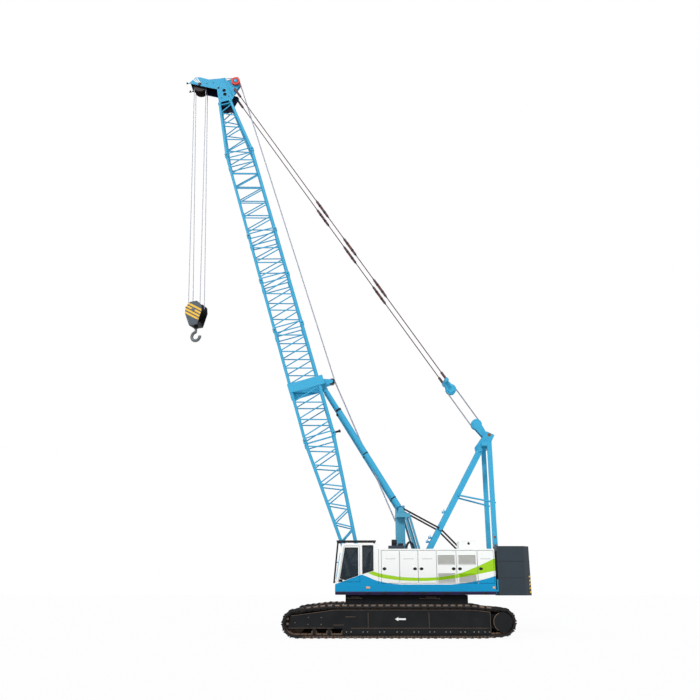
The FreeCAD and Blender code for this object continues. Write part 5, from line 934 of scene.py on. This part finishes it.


# The head is machine blue outside and painted shade, a near black navy, on the inner faces between its cheeks.
head_blue_with_painted_shade = two_sided("head_blue_with_painted_shade", (0.008, 0.315, 0.535), (0.006, 0.012, 0.030), (0, 1, 0), (0, 0, 0), HEAD_Y - 0.012,
                      spared=(0.115, 7.95), roughness=0.42, dirt=0.05, tone=0.03, bump=0.10)
dress(head_blue_with_painted_shade, "boom_head")
sheave_red = finish("sheave_red", (0.70, 0.030, 0.020), roughness=0.42, dirt=0.12, size=3.0)
# The head sheaves are drawn in a near black brown: painted shade, as they sit in shadow between the cheeks.
sheave_painted_shade = finish("sheave_painted_shade", (0.020, 0.009, 0.010), roughness=0.5, dirt=0.12, size=3.0)
dress(sheave_red, "guide_sheaves")
dress(sheave_painted_shade, "head_sheaves")
# A near black for the lightening holes: painted shade in place of the openings.
hole_painted_shade = finish("hole_painted_shade", (0.006, 0.004, 0.008), roughness=0.9, dirt=0.02, tone=0.1)
NOSE_STRIPES = (((25.080, 1.215), (24.865, 1.090)), ((25.095, 1.120), (24.790, 0.995)),
                ((25.110, 1.030), (24.735, 0.905)))
RIB = ((24.66, -0.285), (23.62, -0.435))
CHEEK_HOLES = ((24.020, -0.110), (23.790, -0.096))
CHEEK_BOLTS = ((24.245, 0.121, 0.040), (24.60, 0.30, 0.018), (24.66, 0.62, 0.018), (23.62, 0.10, 0.018),
               (23.62, -0.25, 0.018))
NOSE_CAP = (24.724, 0.966)
stripe, ribs, holes, head_bolts = (bmesh.new() for made in range(4))


def cheek_strip(bm, ends, side, proud, thick, width, bevel=0.0):
    """A straight strip on a cheek's outer face, between two ends given up and ahead on the boom."""
    start, end = (on_boom(*place, side * HEAD_Y) for place in ends)
    lean = (end - start).normalized()
    turn = Matrix((lean, (0, 1, 0), lean.cross(Vector((0, 1, 0))))).transposed()
    block(bm, (start + end) / 2 + Vector((0, side * proud, 0)), ((end - start).length, thick, width), bevel=bevel,
          turn=turn)


def cheek_disc(bm, place, side, proud, radius, segments=32, bevel=0.0):
    """A round plate set into a cheek's outer face, at a place given up and ahead on the boom."""
    centre, out = on_boom(*place, side * HEAD_Y), Vector((0, side, 0))
    barrel(bm, centre - out * 0.004, centre + out * proud, radius, segments=segments, bevel=bevel)


for side in (1, -1):
    for ends in NOSE_STRIPES:
        cheek_strip(stripe, ends, side, 0.001, 0.006, 0.052)
    cheek_strip(ribs, RIB, side, 0.010, 0.028, 0.045, bevel=0.008)
    # Each lightening hole is a black disc standing just proud of the cheek, as painted shade.
    for place in CHEEK_HOLES:
        cheek_disc(holes, place, side, 0.0035, 0.088)
        cheek_disc(ribs, place, side, 0.0015, 0.108)
    for up, ahead, size in CHEEK_BOLTS:
        nut(head_bolts, on_boom(up, ahead, side * HEAD_Y), (0, side, 0), size, 0.022)
    cheek_disc(head_bolts, NOSE_CAP, side, 0.014, 0.085, segments=28, bevel=0.005)
settle("nose_stripes", stripe, mark_white, "boom", smooth=0)
settle("cheek_ribs", ribs, head_blue_with_painted_shade, "boom")
settle("cheek_holes", holes, hole_painted_shade, "boom")
settle("head_bolts", head_bolts, dark_paint, "boom")

# Pairs of lifting lugs stand on the nose's upper edge, inside each cheek.
LUG_UP, LUG_AHEAD, LUG_Y = 25.06, 0.87, HEAD_Y - 0.06
lug = bmesh.new()
for side in (1, -1):
    for step in (-0.025, 0.025):
        block(lug, on_boom(LUG_UP, LUG_AHEAD, side * LUG_Y + step), (0.09, 0.016, 0.12), bevel=0.006, turn=BOOM_TURN)
# Standing inside the cheeks, the lugs take the head finish's painted shade.
settle("nose_lugs", lug, head_blue_with_painted_shade, "boom")

# Dark knobs cap the nose's cross bars, and blue hubs the guide sheaves.
GUIDE_SHEAVE = Vector((7.394, 0, 25.730))
KNOB_X = 9.745
hubs, knobs = bmesh.new(), bmesh.new()
sheave_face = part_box("guide_sheaves")[1].y
for side in (1, -1):
    hub = GUIDE_SHEAVE + Vector((0, side * (sheave_face - 0.004), 0))
    barrel(knobs, hub, hub + Vector((0, side * 0.010, 0)), 0.118, segments=32)
    barrel(hubs, hub, hub + Vector((0, side * 0.018, 0)), 0.085, segments=32, bevel=0.004)
for y, z in ((HEAD_Y, 25.460), (-HEAD_Y, 25.520)):
    barrel(knobs, (KNOB_X, y - 0.030, z), (KNOB_X, y + 0.030, z), 0.040, bevel=0.006)
settle("guide_sheave_hubs", hubs, machine_blue, "boom")
settle("nose_knobs", knobs, dark_paint, "boom")

# ---------------- hoist rope
# One greased wire rope runs from the hoist winch up behind the boom, past a roller, over the
# guide and head sheaves and down to the block in four falls.
dress(dark_paint, "rope_roller")
GUIDE_R, GUIDE_Y = 0.195, 0.163
HEAD_SHEAVE, HEAD_ROPE_R = Vector((9.133, 0, 25.423)), 0.290
ROLLER, ROLLER_R = Vector((2.475, 0, 10.229)), 0.12
DRUM_LEAVES_Y, ROPE_JOINTS = 0.12, 24


def tangent(circle, radius, point, side):
    """The point where a rope from a fixed point touches a sheave, on the given side."""
    reach = circle - point
    swing = acos(radius / hypot(reach.x, reach.z))
    back = atan2(-reach.z, -reach.x)
    return circle + Vector((cos(back + side * swing), 0, sin(back + side * swing))) * radius


upper_rope, lower_rope = bmesh.new(), bmesh.new()
for y in (-GUIDE_Y, GUIDE_Y):
    roller_touch = ROLLER + Vector((-ROLLER_R - ROPE_R, y, 0))
    guide_touch = tangent(GUIDE_SHEAVE, GUIDE_R, roller_touch, -1)
    guide_touch.y = y
    rod(upper_rope, (roller_touch, guide_touch, GUIDE_SHEAVE + Vector((-GUIDE_R * 0.8, y, GUIDE_R * 0.6))), ROPE_R,
        segments=8)
    head_y = copysign(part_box("head_sheaves")[1].y - 0.04, y)
    barrel(upper_rope, GUIDE_SHEAVE + Vector((0, y, GUIDE_R)), HEAD_SHEAVE + Vector((-0.02, head_y, HEAD_ROPE_R)),
           ROPE_R, segments=8)
settle("hoist_rope_upper", upper_rope, rope_steel, "boom", smooth=60)

for y in (-DRUM_LEAVES_Y, DRUM_LEAVES_Y):
    drum_touch = HOIST_AXIS + Vector((0.12, y, DRUM_R + 0.02))
    roller_touch = ROLLER + Vector((-ROLLER_R - ROPE_R, copysign(GUIDE_Y, y), 0))
    rod(lower_rope, [drum_touch.lerp(roller_touch, index / ROPE_JOINTS) for index in range(ROPE_JOINTS + 1)], ROPE_R,
        segments=8)
lower = settle("hoist_rope_lower", lower_rope, rope_steel, None, smooth=60)
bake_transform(lower)


def reeved(name, node_name):
    """Reeved rope, fixed in place, where a CAD node between two bodies was; the node is hidden."""
    source = frame["nodes"][node_name]
    mesh = source.data.copy()
    mesh.transform(source.matrix_world)
    mesh.materials.clear()
    mesh.materials.append(rope_steel)
    made = bpy.data.objects.new(name, mesh)
    scene.collection.objects.link(made)
    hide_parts(node_name)
    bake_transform(made)


FALLS_LEAN, FALLS_LENGTH = radians(2.55), 11.916
reeved("falls_reeving", "hoist_falls")

# ---------------- stays and backstops
# Bridle sheaves, round pendants with swaged sockets and forged links hold the boom; the
# backstop struts are telescoping tubes whose painted rods slide inside.
pendant_paint = finish("pendant_lay", (0.105, 0.055, 0.070), roughness=0.55, metallic=0.3, dirt=0.15, size=6.0,
                       bump=0.6, bump_size=0.004)
dress(pendant_paint, "pendants")
dress(machine_blue, "inner_bridle", "outer_bridle", "strut_tubes", "strut_rods")
STAY_ANGLE = radians(56.50)
STAY_UP = Vector((cos(STAY_ANGLE), 0, sin(STAY_ANGLE)))
STAY_Y = 0.425
PENDANT_JOINTS = (8.06, 10.50, 12.82)
SOCKET_R, SOCKET_LENGTH, LINK_LENGTH = 0.055, 0.33, 0.26


def on_stay(along, y):
    """A point along the stays from the mast's top pin."""
    return MAST_TOP + STAY_UP * along + Vector((0, y, 0))


reeved("bridle_reeving", "bridle_ropes")
collars, links = bmesh.new(), bmesh.new()
for y in (-STAY_Y, STAY_Y):
    for joint in PENDANT_JOINTS:
        for end in (-1, 1):
            link_end = joint + end * LINK_LENGTH / 2
            socket_tip = link_end + end * SOCKET_LENGTH
            barrel(collars, on_stay(socket_tip - end * 0.02, y), on_stay(socket_tip + end * 0.09, y), SOCKET_R * 0.80,
                   tip=0.026)
            barrel(collars, on_stay(link_end + end * 0.05, y), on_stay(link_end + end * 0.10, y), SOCKET_R * 1.22,
                   segments=20, bevel=0.006)
            pin_at = link_end - end * 0.035
            barrel(links, on_stay(pin_at, y - 0.072), on_stay(pin_at, y + 0.072), 0.026, bevel=0.004)
settle("socket_collars", collars, dark_paint, "outer_bridle")
settle("pendant_link_pins", links, pin_rust, "outer_bridle")

STRUT_ANGLE = radians(58.40)
STRUT_UP = Vector((cos(STRUT_ANGLE), 0, sin(STRUT_ANGLE)))
STRUT_FOOT, STRUT_Y, STRUT_LENGTH = Vector((-0.39, 0, 4.71)), 0.40, 4.95
GLANDS = ((STRUT_LENGTH - 0.10, 0.095, 0.122, 0.010), (0.55, 0.05, 0.117, 0.006), (2.7, 0.05, 0.117, 0.006))
glands = bmesh.new()
for y in (-STRUT_Y, STRUT_Y):
    for along, length, radius, bevel in GLANDS:
        start = STRUT_FOOT + STRUT_UP * along + Vector((0, y, 0))
        barrel(glands, start, start + STRUT_UP * length, radius, segments=28, bevel=bevel)
settle("strut_glands", glands, dark_paint, "strut_tubes")

# ---------------- hook block
# Two heavy cheek plates bolted over the sheaves, in slate enamel with yellow warning bars.
# The forged hook turns under them on a bearing and has a spring latch.
BLOCK_TWIST = radians(-18.5)
CHEEK_Y = 0.278
block_place = (Matrix.Translation(HEAD_SHEAVE) @ Matrix.Rotation(FALLS_LEAN, 4, "Y")
               @ Matrix.Translation((0, 0, -FALLS_LENGTH)) @ Matrix.Rotation(BLOCK_TWIST, 4, "Z"))
block_turn = block_place.to_3x3()
# Between its two cheeks, the block's faces that do not face up take a near black: painted shade inside the block.
slate = two_sided("slate_paint", (0.085, 0.105, 0.125), (0.008, 0.008, 0.010), block_turn @ Vector((0, 1, 0)),
                  block_place.translation, CHEEK_Y - 0.010, roughness=0.5, dirt=0.14, tone=0.15, size=3.0, bump=0.3)
hub_grey = finish("hub_grey", (0.16, 0.16, 0.165), roughness=0.5, dirt=0.14, size=3.0)
dress(slate, "hook_block")
dress(dark_paint, "block_sheaves")
hook_steel = finish("hook_steel", (0.13, 0.145, 0.16), roughness=0.45, metallic=0.5, dirt=0.2, size=4.0, bump=0.4)
dress(hook_steel, "hook")
BLOCK_HALF, BLOCK_TOP, BLOCK_BOTTOM = 0.420, 0.395, 0.725
BAR_SLANT = tan(radians(33))
CHEEK_HALF = ((0.42 * BLOCK_HALF, BLOCK_TOP), (0.94 * BLOCK_HALF, 0.45 * BLOCK_TOP),
              (0.985 * BLOCK_HALF, -0.14 * BLOCK_BOTTOM), (0.47 * BLOCK_HALF, -BLOCK_BOTTOM))
CHEEK_EDGE = (*CHEEK_HALF, *((-x, z) for x, z in reversed(CHEEK_HALF)))
BAR_LOW_ZS, BAR_HEIGHT = (0.125, -0.042, -0.209, -0.376), 0.100
BLOCK_BOLTS = ((-0.20, -0.50), (0.20, -0.50), (0.0, -0.62), (-0.12, 0.33), (0.12, 0.33))


def cheek_bar(bm, low_z, side):
    """A slanted bar of paint cut off at the cheek's own edges."""
    cut = bmesh.new()
    cut.faces.new([cut.verts.new((x, side * CHEEK_Y, z)) for x, z in CHEEK_EDGE])
    for z, facing in ((low_z, -1), (low_z + BAR_HEIGHT, 1)):
        bmesh.ops.bisect_plane(cut, geom=cut.verts[:] + cut.edges[:] + cut.faces[:], plane_co=(0, 0, z),
                               plane_no=(-facing * side * BAR_SLANT, 0, facing), clear_outer=True)
    corners = [block_place @ vert.co for vert in cut.faces[:][0].verts]
    cut.free()
    raised_patch(bm, corners, block_turn @ Vector((0, side * 0.003, 0)))


bars, block_bolts = bmesh.new(), bmesh.new()
for side in (1, -1):
    for low_z in BAR_LOW_ZS:
        cheek_bar(bars, low_z, side)
    out = block_turn @ Vector((0, side, 0))
    hub = block_place @ Vector((0, side * (CHEEK_Y - 0.004), 0))
    barrel(block_bolts, hub, hub + out * 0.024, 0.095, segments=32, bevel=0.006)
    barrel(block_bolts, hub, hub + out * 0.040, 0.045, segments=6)
    for x, z in BLOCK_BOLTS:
        nut(block_bolts, block_place @ Vector((x, side * (CHEEK_Y - 0.002), z)), out, 0.026, 0.026)
settle("cheek_warning_bars", bars, warning_yellow, "hook_block", smooth=0)
settle("block_bolts", block_bolts, hub_grey, "hook_block")

collar = bmesh.new()
top = block_place @ Vector((0, 0, -BLOCK_BOTTOM - 0.004))
down = (block_turn @ Vector((0, 0, -1))).normalized()
barrel(collar, top, top + down * 0.055, 0.105, segments=32, bevel=0.008)
barrel(collar, top + down * 0.055, top + down * 0.105, 0.080, segments=6)
settle("hook_bearing", collar, dark_paint, "hook_block")
